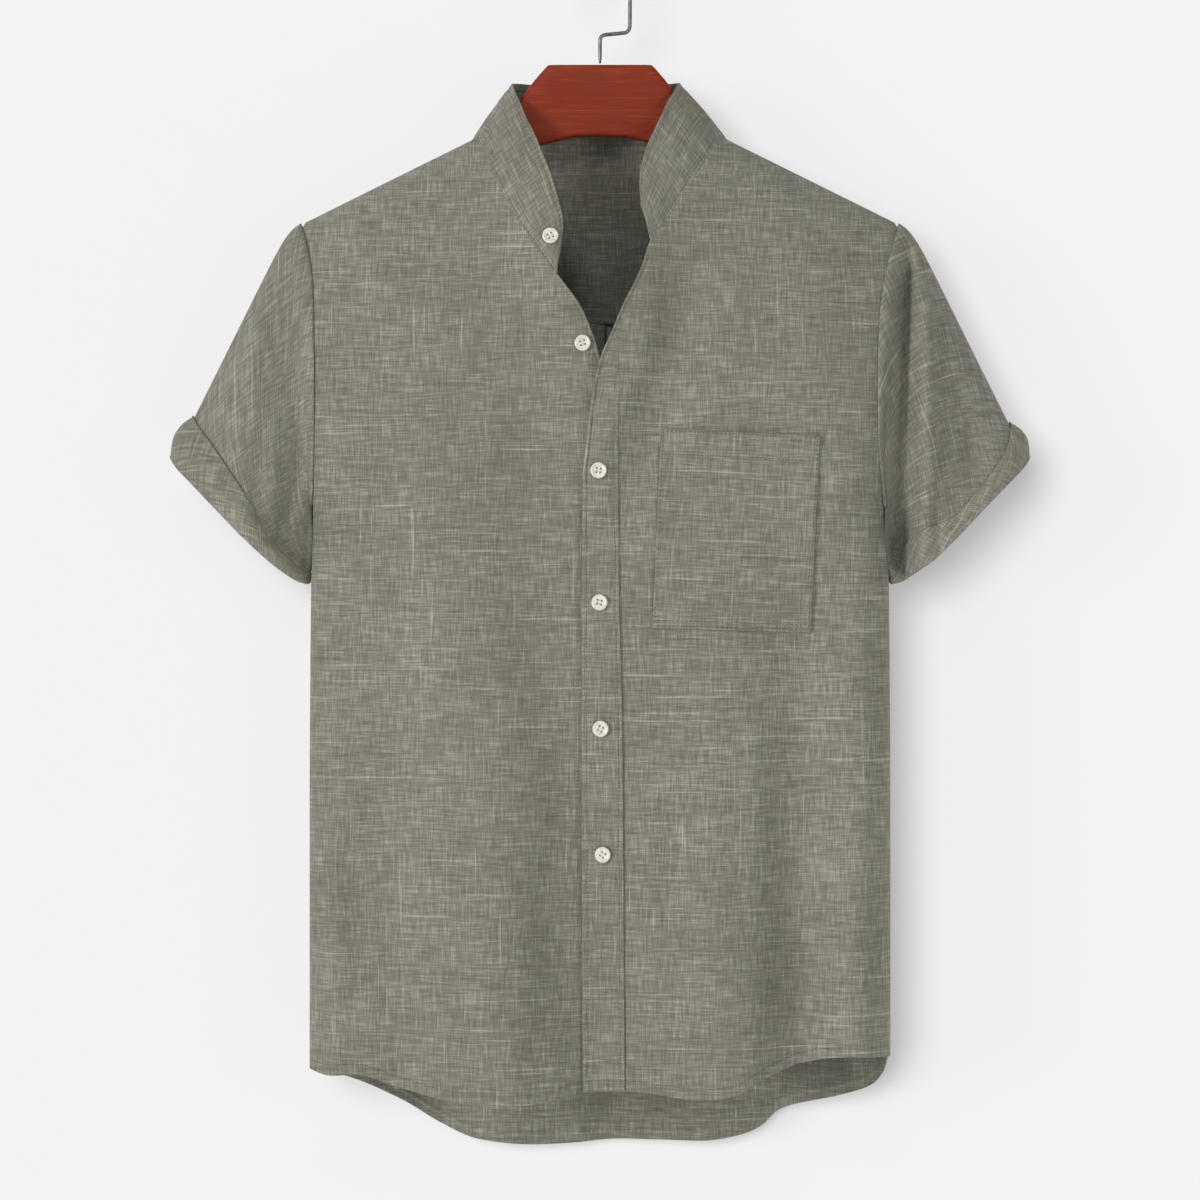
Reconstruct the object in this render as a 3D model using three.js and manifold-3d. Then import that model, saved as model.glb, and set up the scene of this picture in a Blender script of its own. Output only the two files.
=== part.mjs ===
// A short-sleeved shirt with a mandarin collar, hung on a wooden hanger with a wire hook.
// Millimetres, +Z up. The shirt's front faces -Y, so its wearer's left side lies at +X.
// The origin is the underside of the hook's crest, where a rail carries the hanger.
import * as THREE from "three";
import { mergeVertices } from "three/addons/utils/BufferGeometryUtils.js";
import Module from "manifold-3d";

// Driving sizes
const cloth = 1.2; // wall of the shirting
const collarCloth = 2.0; // two layers and their interlining
const placketCloth = 1.0;
const placketSlack = 0.25; // beyond the layer gap, over the front's folds
const seamInset = 0.33; // each of two sewn edges stops this far short of their seam
const layerGap = 0.3; // between a panel and what lies on it
const neckHalfWidth = 88.5; // the shoulder line reaches the neck here
const neckHeight = -137.7;
const shoulderSlope = 0.4955; // drop for each millimetre outwards
const shoulderRound = 120; // height over which the shoulder opens to full depth
const shoulderTip = -203.2; // top of the armhole
const underarm = -411; // foot of the armhole
const yokeSeam = -274.5;
const neckTop = -141; // fronts and yoke end here, at the collar
const collarEnds = { right: -243.5, left: -219 }; // lowest points of the collar's seam
const placketTop = -285;
const overlapLift = 3.2; // how far the buttoned-over front stands off the one under it
const sideRoundness = 3; // exponent of the torso's section, 2 is an ellipse
const ridgeRoundness = 2.2;
const foldsFrom = -300; // the folds' places are given here, at the chest, and this far below it, at the hem
const foldsRun = 520;
const foldsFoot = -800;

// The open front edges stand forward most between these heights, the buttoned-over one further.
const lapel = { foot: -410, grow: 110, top: -165, fade: 75, reach: 46, right: 8, left: 14 };
const overlap = { edge: 60, spread: 32, top: -170, fade: 50 };

// Half width of the torso and its depth to front and back at each height. sway is how far off centre it hangs.
const torso = [
  { z: -90, width: 232, front: 34, back: 30, sway: 0 },
  { z: -141, width: 232, front: 38, back: 33, sway: 0 },
  { z: -206, width: 231, front: 44, back: 37, sway: 0 },
  { z: -290, width: 228, front: 49, back: 41, sway: -3 },
  { z: -357, width: 220, front: 51, back: 43, sway: -3 },
  { z: -411, width: 210.5, front: 52, back: 44, sway: -1.5 },
  { z: -470, width: 213.5, front: 53, back: 45, sway: 0 },
  { z: -640, width: 214.6, front: 54, back: 47, sway: 0 },
  { z: -890, width: 214.6, front: 56, back: 51, sway: 0 },
];

// Armhole seam: distance from the torso's middle at each height.
const armhole = [
  { z: -203.2, x: 220.7 },
  { z: -220, x: 215.5 },
  { z: -240, x: 211 },
  { z: -266, x: 208 },
  { z: -316, x: 206.5 },
  { z: -357, x: 206.8 },
  { z: -395, x: 208.9 },
  { z: -411, x: 210.5 },
];

// Inner edge of each front: along the collar seam, then the open lapel, then the edge that buttons.
const edges = {
  right: [
    { z: -141, x: -88.5 },
    { z: -152, x: -84 },
    { z: -166, x: -78.4 },
    { z: -186, x: -69.2 },
    { z: -207, x: -57 },
    { z: -226.5, x: -43.7 },
    { z: -243.5, x: -31.1 },
    { z: -252, x: -24.5 },
    { z: -265.7, x: -14.5 },
    { z: -286.8, x: -5.2 },
    { z: -303.4, x: 0.2 },
    { z: -333, x: 8.6 },
    { z: -363, x: 13 },
    { z: -481, x: 14.6 },
    { z: -860, x: 16 },
  ],
  left: [
    { z: -141, x: 88.5 },
    { z: -152.4, x: 80 },
    { z: -168.7, x: 69.6 },
    { z: -190, x: 56.2 },
    { z: -205, x: 47 },
    { z: -219, x: 36.5 },
    { z: -236, x: 31 },
    { z: -247, x: 26.5 },
    { z: -265.7, x: 16.9 },
    { z: -286.8, x: 8 },
    { z: -306, x: 0 },
    { z: -333, x: -5.8 },
    { z: -363, x: -9.5 },
    { z: -392, x: -12.3 },
    { z: -481, x: -13.1 },
    { z: -629, x: -13.1 },
    { z: -860, x: -12.4 },
  ],
};

// Stitched edge of the placket on the left front.
const placketSeam = [
  { z: -285, x: 19.5 },
  { z: -308, x: 15.6 },
  { z: -363, x: 13 },
  { z: -481, x: 14.2 },
  { z: -599, x: 16.8 },
  { z: -860, x: 18.4 },
];

// Hems: their height at each place across the shirt.
const hems = {
  front: [
    { x: -214.6, z: -826 },
    { x: -198, z: -829 },
    { x: -178, z: -828 },
    { x: -145, z: -838 },
    { x: -110, z: -846 },
    { x: -75, z: -849 },
    { x: -38, z: -846 },
    { x: -12, z: -840 },
    { x: 19, z: -839 },
    { x: 74, z: -844 },
    { x: 98, z: -841.5 },
    { x: 120, z: -830 },
    { x: 152, z: -819 },
    { x: 184, z: -815 },
    { x: 214.6, z: -817 },
  ],
  back: [
    { x: -214.6, z: -826 },
    { x: -208, z: -830 },
    { x: -196, z: -834 },
    { x: -180, z: -839.5 },
    { x: -150, z: -855 },
    { x: -120, z: -874 },
    { x: -90, z: -886 },
    { x: -45, z: -889.5 },
    { x: 30, z: -886 },
    { x: 75, z: -886.5 },
    { x: 104, z: -883 },
    { x: 120, z: -877 },
    { x: 135, z: -864 },
    { x: 180, z: -850.5 },
    { x: 203, z: -842 },
    { x: 211, z: -832 },
    { x: 214.6, z: -817 },
  ],
};
const hemZone = -775; // below this, rows bend to follow the hem
const hemRows = 3;

// Long soft folds: place across at the chest and at the hem, full lift at the hem, width, and the height of the top.
const folds = {
  front: [
    { chest: -196, hem: -196, lift: 3, spread: 15, top: -300 },
    { chest: -158, hem: -146, lift: -10, spread: 26, top: -190 },
    { chest: -114, hem: -70, lift: 13, spread: 36, top: -210 },
    { chest: -58, hem: -4, lift: -11, spread: 32, top: -300 },
    { chest: 70, hem: 84, lift: 11, spread: 38, top: -320 },
    { chest: 152, hem: 148, lift: -11, spread: 27, top: -330 },
    { chest: 196, hem: 194, lift: 6, spread: 18, top: -400 },
  ],
  back: [
    { chest: -160, hem: -176, lift: -7, spread: 24, top: -300 },
    { chest: -98, hem: -122, lift: 9, spread: 30, top: -290 },
    { chest: -52, hem: -64, lift: -6, spread: 24, top: -320 },
    { chest: 68, hem: 78, lift: -6, spread: 24, top: -320 },
    { chest: 112, hem: 132, lift: 9, spread: 30, top: -290 },
    { chest: 168, hem: 182, lift: -7, spread: 24, top: -300 },
  ],
};

// Rows of all body panels, hem zone upwards. Pieces that share a seam share its rows.
const levels = [
  -775, -735, -690, -645, -600, -555, -503, -485, -467, -449, -430, -411, -406, -385, -372, -358.5, -342, -326,
  -311, -297, -285, -274.5, -259, -243.5, -231, -219, -210.5, -203.2, -190, -176, -162, -151, -141,
];

// Box pleat in the middle of the back, folded under the yoke and opening to a flute at the hem.
const pleat = { middle: 7, reach: 30, gap: 5, halfWidth: 17, opened: -700, fluteHeight: 9 };

// Collar: its upper edge from the right front round the neck to the left front, by share of the way round.
const collarTop = [
  { share: 0, x: -28, y: -52, z: -222 },
  { share: 0.05, x: -27, y: -50, z: -205.5 },
  { share: 0.1, x: -31.5, y: -45, z: -184 },
  { share: 0.16, x: -40, y: -36, z: -157.5 },
  { share: 0.21, x: -48.2, y: -27, z: -138.5 },
  { share: 0.26, x: -58, y: -16, z: -117 },
  { share: 0.31, x: -65, y: -2, z: -99.5 },
  { share: 0.37, x: -58, y: 14, z: -97.5 },
  { share: 0.45, x: -31, y: 24, z: -98 },
  { share: 0.52, x: -2, y: 27, z: -98 },
  { share: 0.59, x: 26, y: 24, z: -98 },
  { share: 0.67, x: 52, y: 14, z: -97.5 },
  { share: 0.73, x: 58.5, y: -2, z: -98.5 },
  { share: 0.79, x: 52, y: -15, z: -109.5 },
  { share: 0.84, x: 44.6, y: -26, z: -125.5 },
  { share: 0.89, x: 35.5, y: -37, z: -146 },
  { share: 0.95, x: 29.5, y: -45, z: -167 },
  { share: 1, x: 28, y: -51, z: -187 },
];
const collarRows = 5;
const collarBow = 1.4;
const collarCorner = 14; // length of the rounding at each front end

// Sleeves: the oval at the end of each tube, and its folds as lines down the sleeve.
const sleeveEnd = {
  topX: 315.5,
  topZ: -377,
  underX: 219.5,
  underZ: -469.5,
  front: 24,
  back: 22,
  bulge: 3.5,
  topCorner: { pull: 5, share: 0.1 },
  underCorner: { pull: 3, share: 0.08 },
};
// How the tube leaves the armhole: out and up over the shoulder, out under the arm, and full at front and back
const sleeveHead = { out: 7.5, up: 2.5, start: 0.045, fade: 1.15 };
const sleeveUnder = { out: 9.8, start: 0.022, fade: 1.2 };
const sleeveFullness = 5;
const sleeveRows = [0, 0.03, 0.09, 0.18, 0.29, 0.41, 0.54, 0.68, 0.83, 1];
const sleeveFolds = {
  right: [
    { fromX: -238, fromZ: -232, toX: -224, toZ: -430, lift: -11, spread: 13 },
    { fromX: -252, fromZ: -262, toX: -282, toZ: -392, lift: 5, spread: 16 },
  ],
  left: [
    { fromX: 226, fromZ: -236, toX: 222, toZ: -436, lift: -12, spread: 8 },
    { fromX: 246, fromZ: -262, toX: 244, toZ: -420, lift: 5, spread: 14 },
  ],
};

// Turned-up band: its width going from the sleeve's top down the front, under the arm and up the back.
const turnUp = { radius: 2.1, gap: 1, lean: 2, topLean: 1.2 };
const turnUpWidth = {
  right: [
    { turn: 0, width: 33 },
    { turn: 0.1, width: 32 },
    { turn: 0.225, width: 24 },
    { turn: 0.33, width: 10 },
    { turn: 0.5, width: 7 },
    { turn: 0.75, width: 20 },
    { turn: 1, width: 33 },
  ],
  left: [
    { turn: 0, width: 28 },
    { turn: 0.17, width: 12 },
    { turn: 0.25, width: 9.5 },
    { turn: 0.33, width: 20 },
    { turn: 0.42, width: 16 },
    { turn: 0.5, width: 13 },
    { turn: 0.75, width: 20 },
    { turn: 1, width: 28 },
  ],
};

// Patch pocket on the left front. tilt is how far its outer top corner hangs below the middle.
const pocket = {
  top: -358.5,
  bottom: -503,
  leftTop: 44.4,
  leftBottom: 38,
  rightTop: 160.5,
  rightBottom: 154,
  tilt: 2.3,
  puff: 1.5,
};

// Buttons, with the piece each lies on
const button = { radius: 6, thickness: 2.4, rim: 0.5, hole: 0.75, holePlace: 1.5, corners: 12 };
const buttons = [
  { name: "button_collar", x: -36, z: -216, on: "collar" },
  { name: "button_2", x: -12.5, z: -294, on: "right" },
  { name: "button_3", x: -1.4, z: -386.5, on: "placket" },
  { name: "button_4", x: 0, z: -481.7, on: "placket" },
  { name: "button_5", x: 0.9, z: -573.5, on: "placket" },
  { name: "button_6", x: 2.2, z: -666.7, on: "placket" },
];

// Hanger: its wooden body as rounded sections from the middle to one end, the same both ways.
const hangerBlock = [
  { x: 0, top: -85, bottom: -138, half: 8, blunt: 0.3 },
  { x: 20, top: -85, bottom: -139, half: 8, blunt: 0.3 },
  { x: 38.5, top: -85, bottom: -143.5, half: 8, blunt: 0.3 },
  { x: 48, top: -96, bottom: -146.5, half: 8, blunt: 0.35 },
  { x: 57, top: -107.5, bottom: -151, half: 8, blunt: 0.4 },
  { x: 66, top: -122, bottom: -156, half: 8.3, blunt: 0.5 },
  { x: 78, top: -140, bottom: -164, half: 8, blunt: 0.8 },
  { x: 90, top: -148, bottom: -171, half: 8, blunt: 0.9 },
];
const hangerArm = { from: 104, to: 192, stations: 5, height: 25, halfFrom: 8, halfTo: 9, clearance: 1.6 };
const hook = { wire: 1.6, bend: 22.2, foot: -84.6, kneeLow: -66, kneeHigh: -61.5, tip: -31, corners: 8 };

// Small helpers
const clamp = (v, low, high) => Math.min(high, Math.max(low, v));
const mix = (a, b, t) => a + (b - a) * t;
const ease = (t) => {
  const c = clamp(t, 0, 1);
  return c * c * (3 - 2 * c);
};
const bell = (d) => Math.exp(-d * d);
const last = (list) => list[list.length - 1];
const signOf = (side) => (side === "left" ? 1 : -1);

// Reads a column of a table at a place on its key column, on a smooth curve through the rows.
function read(table, key, column, at) {
  const rising = last(table)[key] > table[0][key];
  const end = table.length - 2;
  let i = 0;
  while (i < end && (rising ? at > table[i + 1][key] : at < table[i + 1][key])) i++;
  const span = table[i + 1][key] - table[i][key];
  const t = clamp((at - table[i][key]) / span, 0, 1);
  const rise = (k) => (table[k + 1][column] - table[k][column]) / (table[k + 1][key] - table[k][key]);
  const slope = (a, b) => (a * b <= 0 ? 0 : (2 * a * b) / (a + b));
  const here = rise(i);
  const into = i > 0 ? slope(rise(i - 1), here) : here;
  const out = i < end ? slope(here, rise(i + 1)) : here;
  const [t2, t3] = [t * t, t * t * t];
  const ends = table[i][column] * (2 * t3 - 3 * t2 + 1) + table[i + 1][column] * (3 * t2 - 2 * t3);
  return ends + span * (into * (t3 - 2 * t2 + t) + out * (t3 - t2));
}

// Shape of the torso
const ridgeHeight = (x) => neckHeight - (Math.abs(x) - neckHalfWidth) * shoulderSlope;
const ridgeHalf = (z) => neckHalfWidth + (neckHeight - z) / shoulderSlope;
const sway = (z) => read(torso, "z", "sway", z);

// Half width of the body panels: the ridge of the shoulder, then the armhole, then the side seam.
function outerEdge(z) {
  if (z >= shoulderTip) return ridgeHalf(z);
  return z > underarm ? read(armhole, "z", "x", z) : read(torso, "z", "width", z);
}

function foldLift(table, x, z) {
  const down = clamp((z - foldsFrom) / -foldsRun, -0.3, 1.1);
  const one = ({ chest, hem, lift, spread, top }) =>
    lift * ease((top - z) / (top - foldsFoot)) * bell((x - mix(chest, hem, down)) / spread);
  return table.reduce((sum, fold) => sum + one(fold), 0);
}

// How far an open front edge stands forward, between the collar and the first fastened button.
function lapelLift(side, x, z) {
  const away = Math.abs(x - read(edges[side], "z", "x", z));
  const window = ease((z - lapel.foot) / lapel.grow) * ease((lapel.top - z) / lapel.fade);
  return lapel[side] * window * bell(away / lapel.reach);
}

// Depth of the torso's outer surface from its middle plane.
function depth(side, x, z) {
  const face = side === "back" ? "back" : "front";
  const across = clamp(Math.abs(x - sway(z)) / read(torso, "z", "width", z), 0, 1);
  const section = Math.pow(1 - Math.pow(across, sideRoundness), 1 / sideRoundness);
  const below = clamp((ridgeHeight(x - sway(z)) - z) / shoulderRound, 0, 1);
  const crown = Math.pow(1 - Math.pow(1 - below, ridgeRoundness), 1 / ridgeRoundness);
  const inside = ease((1 - across) / 0.1) * ease(below / 0.1);
  let d = read(torso, "z", face, z) * section * crown + foldLift(folds[face], x, z) * inside;
  if (side !== "back") d += lapelLift(side, x, z) * inside;
  if (side === "left") {
    d += overlapLift * inside * ease((overlap.edge - x) / overlap.spread) * ease((overlap.top - z) / overlap.fade);
  }
  return Math.max(d, 0);
}

const torsoPoint = (side, x, z) => new THREE.Vector3(x, depth(side, x, z) * (side === "back" ? 1 : -1), z);

// Directions out of a grid of points. facing is 1 or -1, whichever turns them outwards.
function gridNormals(points, ring, facing) {
  const rows = points.length;
  const columns = points[0].length;
  const unit = (a, b) => b.clone().sub(a).normalize();
  return points.map((row, i) =>
    row.map((p, j) => {
      const along = new THREE.Vector3();
      if (ring || j > 0) along.add(unit(row[(j + columns - 1) % columns], p));
      if (ring || j + 1 < columns) along.add(unit(p, row[(j + 1) % columns]));
      const up = new THREE.Vector3();
      if (i > 0) up.add(unit(points[i - 1][j], p));
      if (i + 1 < rows) up.add(unit(p, points[i + 1][j]));
      return along.cross(up).normalize().multiplyScalar(facing);
    }),
  );
}

// Grids of cloth, by name. Where the edges of several meet, they share one direction through the wall.
const grids = new Map();
const seams = new Map();
const seamKey = (p) => [p.x, p.y, p.z].map((v) => Math.round(v * 50)).join();

// onSeam tells for row and column whether that border point is sewn to another piece.
function addGrid(name, points, { thickness = cloth, ring = false, facing, onSeam }) {
  const normals = gridNormals(points, ring, facing);
  const [rows, columns] = [points.length, points[0].length];
  const border = (i, j) => i === 0 || i === rows - 1 || (!ring && (j === 0 || j === columns - 1));
  const sewn = points.map((row, i) => row.map((_, j) => border(i, j) && onSeam(i, j, rows, columns)));
  points.forEach((row, i) =>
    row.forEach((p, j) => {
      if (!sewn[i][j]) return;
      const key = seamKey(p);
      if (!seams.has(key)) seams.set(key, []);
      seams.get(key).push(normals[i][j]);
    }),
  );
  grids.set(name, { points, normals, thickness, ring, sewn });
}

// Outer and inner faces of a grid, its sewn edges drawn back from the seam.
function wallOf({ points, normals, thickness, ring, sewn }) {
  const [rows, columns] = [points.length, points[0].length];
  const outer = points.map((row) => row.map((p) => p.clone()));
  const inner = points.map((row) => row.map((p) => p.clone()));
  for (let i = 0; i < rows; i++) {
    for (let j = 0; j < columns; j++) {
      const n = normals[i][j].clone();
      let reach = thickness;
      if (sewn[i][j]) {
        const shared = new THREE.Vector3();
        for (const other of seams.get(seamKey(points[i][j]))) shared.add(other);
        shared.normalize();
        reach = thickness / clamp(shared.dot(n), 0.6, 1);
        n.copy(shared);
        const draw = (k, l) => {
          const step = points[k][l].clone().sub(points[i][j]).normalize().multiplyScalar(seamInset);
          outer[i][j].add(step);
          inner[i][j].add(step);
        };
        if (i === 0) draw(1, j);
        if (i === rows - 1) draw(rows - 2, j);
        if (!ring && j === 0) draw(i, 1);
        if (!ring && j === columns - 1) draw(i, columns - 2);
      }
      inner[i][j].addScaledVector(n, -reach);
    }
  }
  return { outer, inner };
}

// Closed geometry from points and triangles, turned right side out.
function solidGeometry(points, index) {
  let volume = 0;
  for (let i = 0; i < index.length; i += 3) {
    const [a, b, c] = [points[index[i]], points[index[i + 1]], points[index[i + 2]]];
    volume += a.dot(b.clone().cross(c));
  }
  if (volume < 0) index.reverse();
  const geometry = new THREE.BufferGeometry().setFromPoints(points);
  geometry.setIndex(index);
  geometry.computeVertexNormals();
  return geometry;
}

// One closed wall between two grids of points.
function wallGeometry({ outer, inner }, ring) {
  const [rows, columns] = [outer.length, outer[0].length];
  const out = (i, j) => i * columns + (j % columns);
  const into = (i, j) => rows * columns + out(i, j);
  const index = [];
  const quad = (a, b, c, d) => index.push(a, b, c, a, c, d);
  const spans = ring ? columns : columns - 1;
  for (let i = 0; i + 1 < rows; i++) {
    for (let j = 0; j < spans; j++) {
      quad(out(i, j), out(i, j + 1), out(i + 1, j + 1), out(i + 1, j));
      quad(into(i, j + 1), into(i, j), into(i + 1, j), into(i + 1, j + 1));
    }
    if (!ring) {
      quad(out(i, 0), out(i + 1, 0), into(i + 1, 0), into(i, 0));
      quad(into(i, spans), into(i + 1, spans), out(i + 1, spans), out(i, spans));
    }
  }
  for (let j = 0; j < spans; j++) {
    quad(into(0, j), into(0, j + 1), out(0, j + 1), out(0, j));
    quad(out(rows - 1, j), out(rows - 1, j + 1), into(rows - 1, j + 1), into(rows - 1, j));
  }
  return solidGeometry([...outer.flat(), ...inner.flat()], index);
}

// Fronts: rows from hem to neck, columns from the side seam to the inner edge
const pocketShape = (x) => -clamp((x - 102) / 58, -1, 1) * ease((203 - x) / 38) * ease((x - 16) / 24);

// Columns lie closer together where the torso turns round at the side.
const columnShares = (count, power) => Array.from({ length: count + 1 }, (_, j) => Math.pow(j / count, power));
const frontShares = columnShares(18, 1.45);

function frontColumns(side, z) {
  const outer = sway(z) + signOf(side) * outerEdge(z);
  const inner = read(edges[side], "z", "x", z);
  if (side === "right") return frontShares.map((share) => mix(outer, inner, share));
  const shareAt = (x, at) => {
    const o = sway(at) + outerEdge(at);
    return (o - x) / (o - read(edges.left, "z", "x", at));
  };
  const down = clamp((z - pocket.bottom) / (pocket.top - pocket.bottom), 0, 1);
  const pocketRight = mix(shareAt(pocket.rightBottom, pocket.bottom), shareAt(pocket.rightTop, pocket.top), down);
  const pocketLeft = mix(shareAt(pocket.leftBottom, pocket.bottom), shareAt(pocket.leftTop, pocket.top), down);
  const seamAt = Math.min(z, placketTop);
  const placketEdge = shareAt(read(placketSeam, "z", "x", seamAt), seamAt);
  const shares = [
    ...Array.from({ length: 6 }, (_, j) => pocketRight * Math.pow(j / 6, 1.45)),
    ...Array.from({ length: 8 }, (_, j) => mix(pocketRight, pocketLeft, j / 8)),
    ...Array.from({ length: 3 }, (_, j) => mix(pocketLeft, placketEdge, j / 3)),
    ...Array.from({ length: 4 }, (_, j) => mix(placketEdge, 1, j / 3)),
  ];
  return shares.map((share) => mix(outer, inner, share));
}
const pocketColumns = { from: 6, to: 14 };
const placketColumns = { from: 17, to: 20 };

function frontPoints(side) {
  const rows = levels.map((z) => {
    const window = ease((z + 580) / 60) * ease((-290 - z) / 50);
    return frontColumns(side, z).map((x) => {
      const tilt = side === "left" ? pocket.tilt * window * pocketShape(x) : 0;
      return torsoPoint(side, x, z + tilt);
    });
  });
  const foot = frontColumns(side, hemZone);
  const hem = Array.from({ length: hemRows }, (_, i) =>
    foot.map((x) => torsoPoint(side, x, mix(read(hems.front, "x", "z", x), hemZone, i / hemRows))),
  );
  // The last row is the short edge across the shoulder that the collar stands on.
  const top = last(rows);
  const [from, to] = [top[0].clone(), last(top).clone()];
  top.forEach((p, j) => p.lerpVectors(from, to, j / (top.length - 1)));
  return [...hem, ...rows];
}

const rowOf = (z) => hemRows + levels.indexOf(z);

for (const side of ["right", "left"]) {
  const collarFoot = rowOf(collarEnds[side]);
  addGrid("front_" + side, frontPoints(side), {
    facing: -signOf(side),
    onSeam: (i, j, rows, columns) => j === 0 || i === rows - 1 || (j === columns - 1 && i >= collarFoot),
  });
}

// Back and yoke: columns from the right side to the left, those of the pleat between
const pleatLeft = pleat.middle - pleat.reach;
const pleatRight = pleat.middle + pleat.reach;
const sideShares = columnShares(9, 1.65);

function sideColumns(z) {
  const [from, to] = [sway(z) - outerEdge(z), sway(z) + outerEdge(z)];
  const right = sideShares.map((share) => mix(from, pleatLeft, share));
  const left = sideShares.map((share) => mix(to, pleatRight, share)).reverse();
  return { right, left };
}

// Half of the pleat's section when folded, as the outer face sees it: across from the middle, and out.
const folded = [
  { x: -6, y: 0 },
  { x: -4.8, y: 0.16 },
  { x: -6, y: 0.32 },
  { x: -pleat.halfWidth + 1.4, y: 0.32 },
  { x: -pleat.halfWidth, y: 1.66 },
  { x: -pleat.halfWidth + 1.4, y: 3 },
];

function pleatRow(z, height) {
  const open = ease((yokeSeam - 12 - z) / (yokeSeam - 12 - pleat.opened));
  const [a, b] = [torsoPoint("back", pleatLeft, height), torsoPoint("back", pleatRight, height)];
  const half = folded.map(({ x, y }, k) => {
    const even = -pleat.reach * (1 - (k + 1) / (folded.length + 1));
    const flute = pleat.fluteHeight * ease((k + 1) / (folded.length + 1));
    return { x: mix(x, even, open), y: mix(y, flute, open) };
  });
  const full = [...half, ...half.map(({ x, y }) => ({ x: -x, y })).reverse()];
  return full.map(({ x, y }) => {
    const p = a.clone().lerp(b, (x + pleat.reach) / (2 * pleat.reach));
    p.y += y;
    return p;
  });
}

function backRow(z, heightAt) {
  const { right, left } = sideColumns(z);
  const at = (x) => torsoPoint("back", x, heightAt(x));
  return [...right.map(at), ...pleatRow(z, heightAt(pleat.middle)), ...left.map(at)];
}

const backLevels = levels.filter((z) => z <= yokeSeam);
const yokeLevels = levels.filter((z) => z >= yokeSeam);

addGrid(
  "back_panel",
  [
    ...Array.from({ length: hemRows }, (_, i) =>
      backRow(hemZone, (x) => mix(read(hems.back, "x", "z", x), hemZone, i / hemRows)),
    ),
    ...backLevels.map((z) => backRow(z, () => z)),
  ],
  { facing: -1, onSeam: (i, j, rows, columns) => j === 0 || j === columns - 1 || i === rows - 1 },
);
addGrid(
  "back_yoke",
  yokeLevels.map((z) => {
    const { right, left } = sideColumns(z);
    return [...right, ...left].map((x) => torsoPoint("back", x, z));
  }),
  { facing: -1, onSeam: () => true },
);

// Sleeves: a ring round the armhole from its top, down the front and up the back, carried out to the end
const armholeLevels = levels.filter((z) => z <= shoulderTip && z >= underarm).reverse();

function armholeRing(side) {
  const at = (face, z) => torsoPoint(face, sway(z) + signOf(side) * outerEdge(z), z);
  const turnAt = (z) => Math.acos(1 - (2 * (shoulderTip - z)) / (shoulderTip - underarm)) / (2 * Math.PI);
  const front = armholeLevels.map((z) => ({ turn: turnAt(z), p: at(side, z) }));
  const back = armholeLevels.slice(1, -1).map((z) => ({ turn: 1 - turnAt(z), p: at("back", z) }));
  return [...front, ...back.reverse()];
}

function sleevePoint(side, start, turn, v) {
  const sign = signOf(side);
  const { topX, topZ, underX, underZ, front, back, bulge, topCorner, underCorner } = sleeveEnd;
  const angle = 2 * Math.PI * turn;
  const share = (1 - Math.cos(angle)) / 2;
  const round = Math.sin(angle);
  const deep = round > 0 ? front : back;
  const end = new THREE.Vector3(sign * mix(topX, underX, share), -round * deep, mix(topZ, underZ, share));
  const out = new THREE.Vector3((topZ - underZ) * sign, 0, underX - topX).normalize();
  end.addScaledVector(out, bulge * Math.sin(Math.PI * share * share));
  // Both corners of the opening are round.
  const atTop = topCorner.pull * clamp(1 - share / topCorner.share, 0, 1) ** 2;
  const atFoot = underCorner.pull * clamp(1 - (1 - share) / underCorner.share, 0, 1) ** 2;
  end.addScaledVector(out, -atTop - atFoot);
  const p = start.clone().lerp(end, v);
  const leave = (1 - Math.exp(-v / sleeveHead.start)) * Math.pow(1 - v, sleeveHead.fade);
  const leaveUnder = (1 - Math.exp(-v / sleeveUnder.start)) * Math.pow(1 - v, sleeveUnder.fade);
  const over = Math.pow(1 - share, 3);
  const under = Math.pow(share, 3);
  p.x += sign * (sleeveHead.out * leave * over + sleeveUnder.out * leaveUnder * under);
  p.z += sleeveHead.up * leave * over;
  p.y -= sleeveFullness * round * Math.abs(round) * Math.sin(Math.PI * Math.min(1, v * 1.15));
  const strength = ease(Math.abs(round) * 1.6) * Math.min(1, v / 0.1) * (1 - 0.75 * ease((v - 0.72) / 0.28));
  for (const { fromX, fromZ, toX, toZ, lift, spread } of sleeveFolds[side]) {
    const along = clamp((p.z - fromZ) / (toZ - fromZ), -0.15, 1.1);
    const shape = ease((along + 0.15) / 0.3) * bell((p.x - mix(fromX, toX, along)) / spread);
    p.y -= Math.sign(round) * lift * strength * shape;
  }
  return p;
}

for (const side of ["right", "left"]) {
  const ring = armholeRing(side);
  const points = sleeveRows.map((v) => ring.map(({ p, turn }) => sleevePoint(side, p, turn, v)));
  addGrid("sleeve_" + side, points, { ring: true, facing: signOf(side), onSeam: (i) => i === 0 });
}

// Collar: a band that stands on the neck seam, the edges of both fronts and the top of the yoke
function collarBase() {
  const seam = (side) => grids.get("front_" + side).points.slice(rowOf(collarEnds[side])).map(last);
  return [...seam("right"), ...last(grids.get("back_yoke").points), ...seam("left").reverse()];
}

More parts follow.
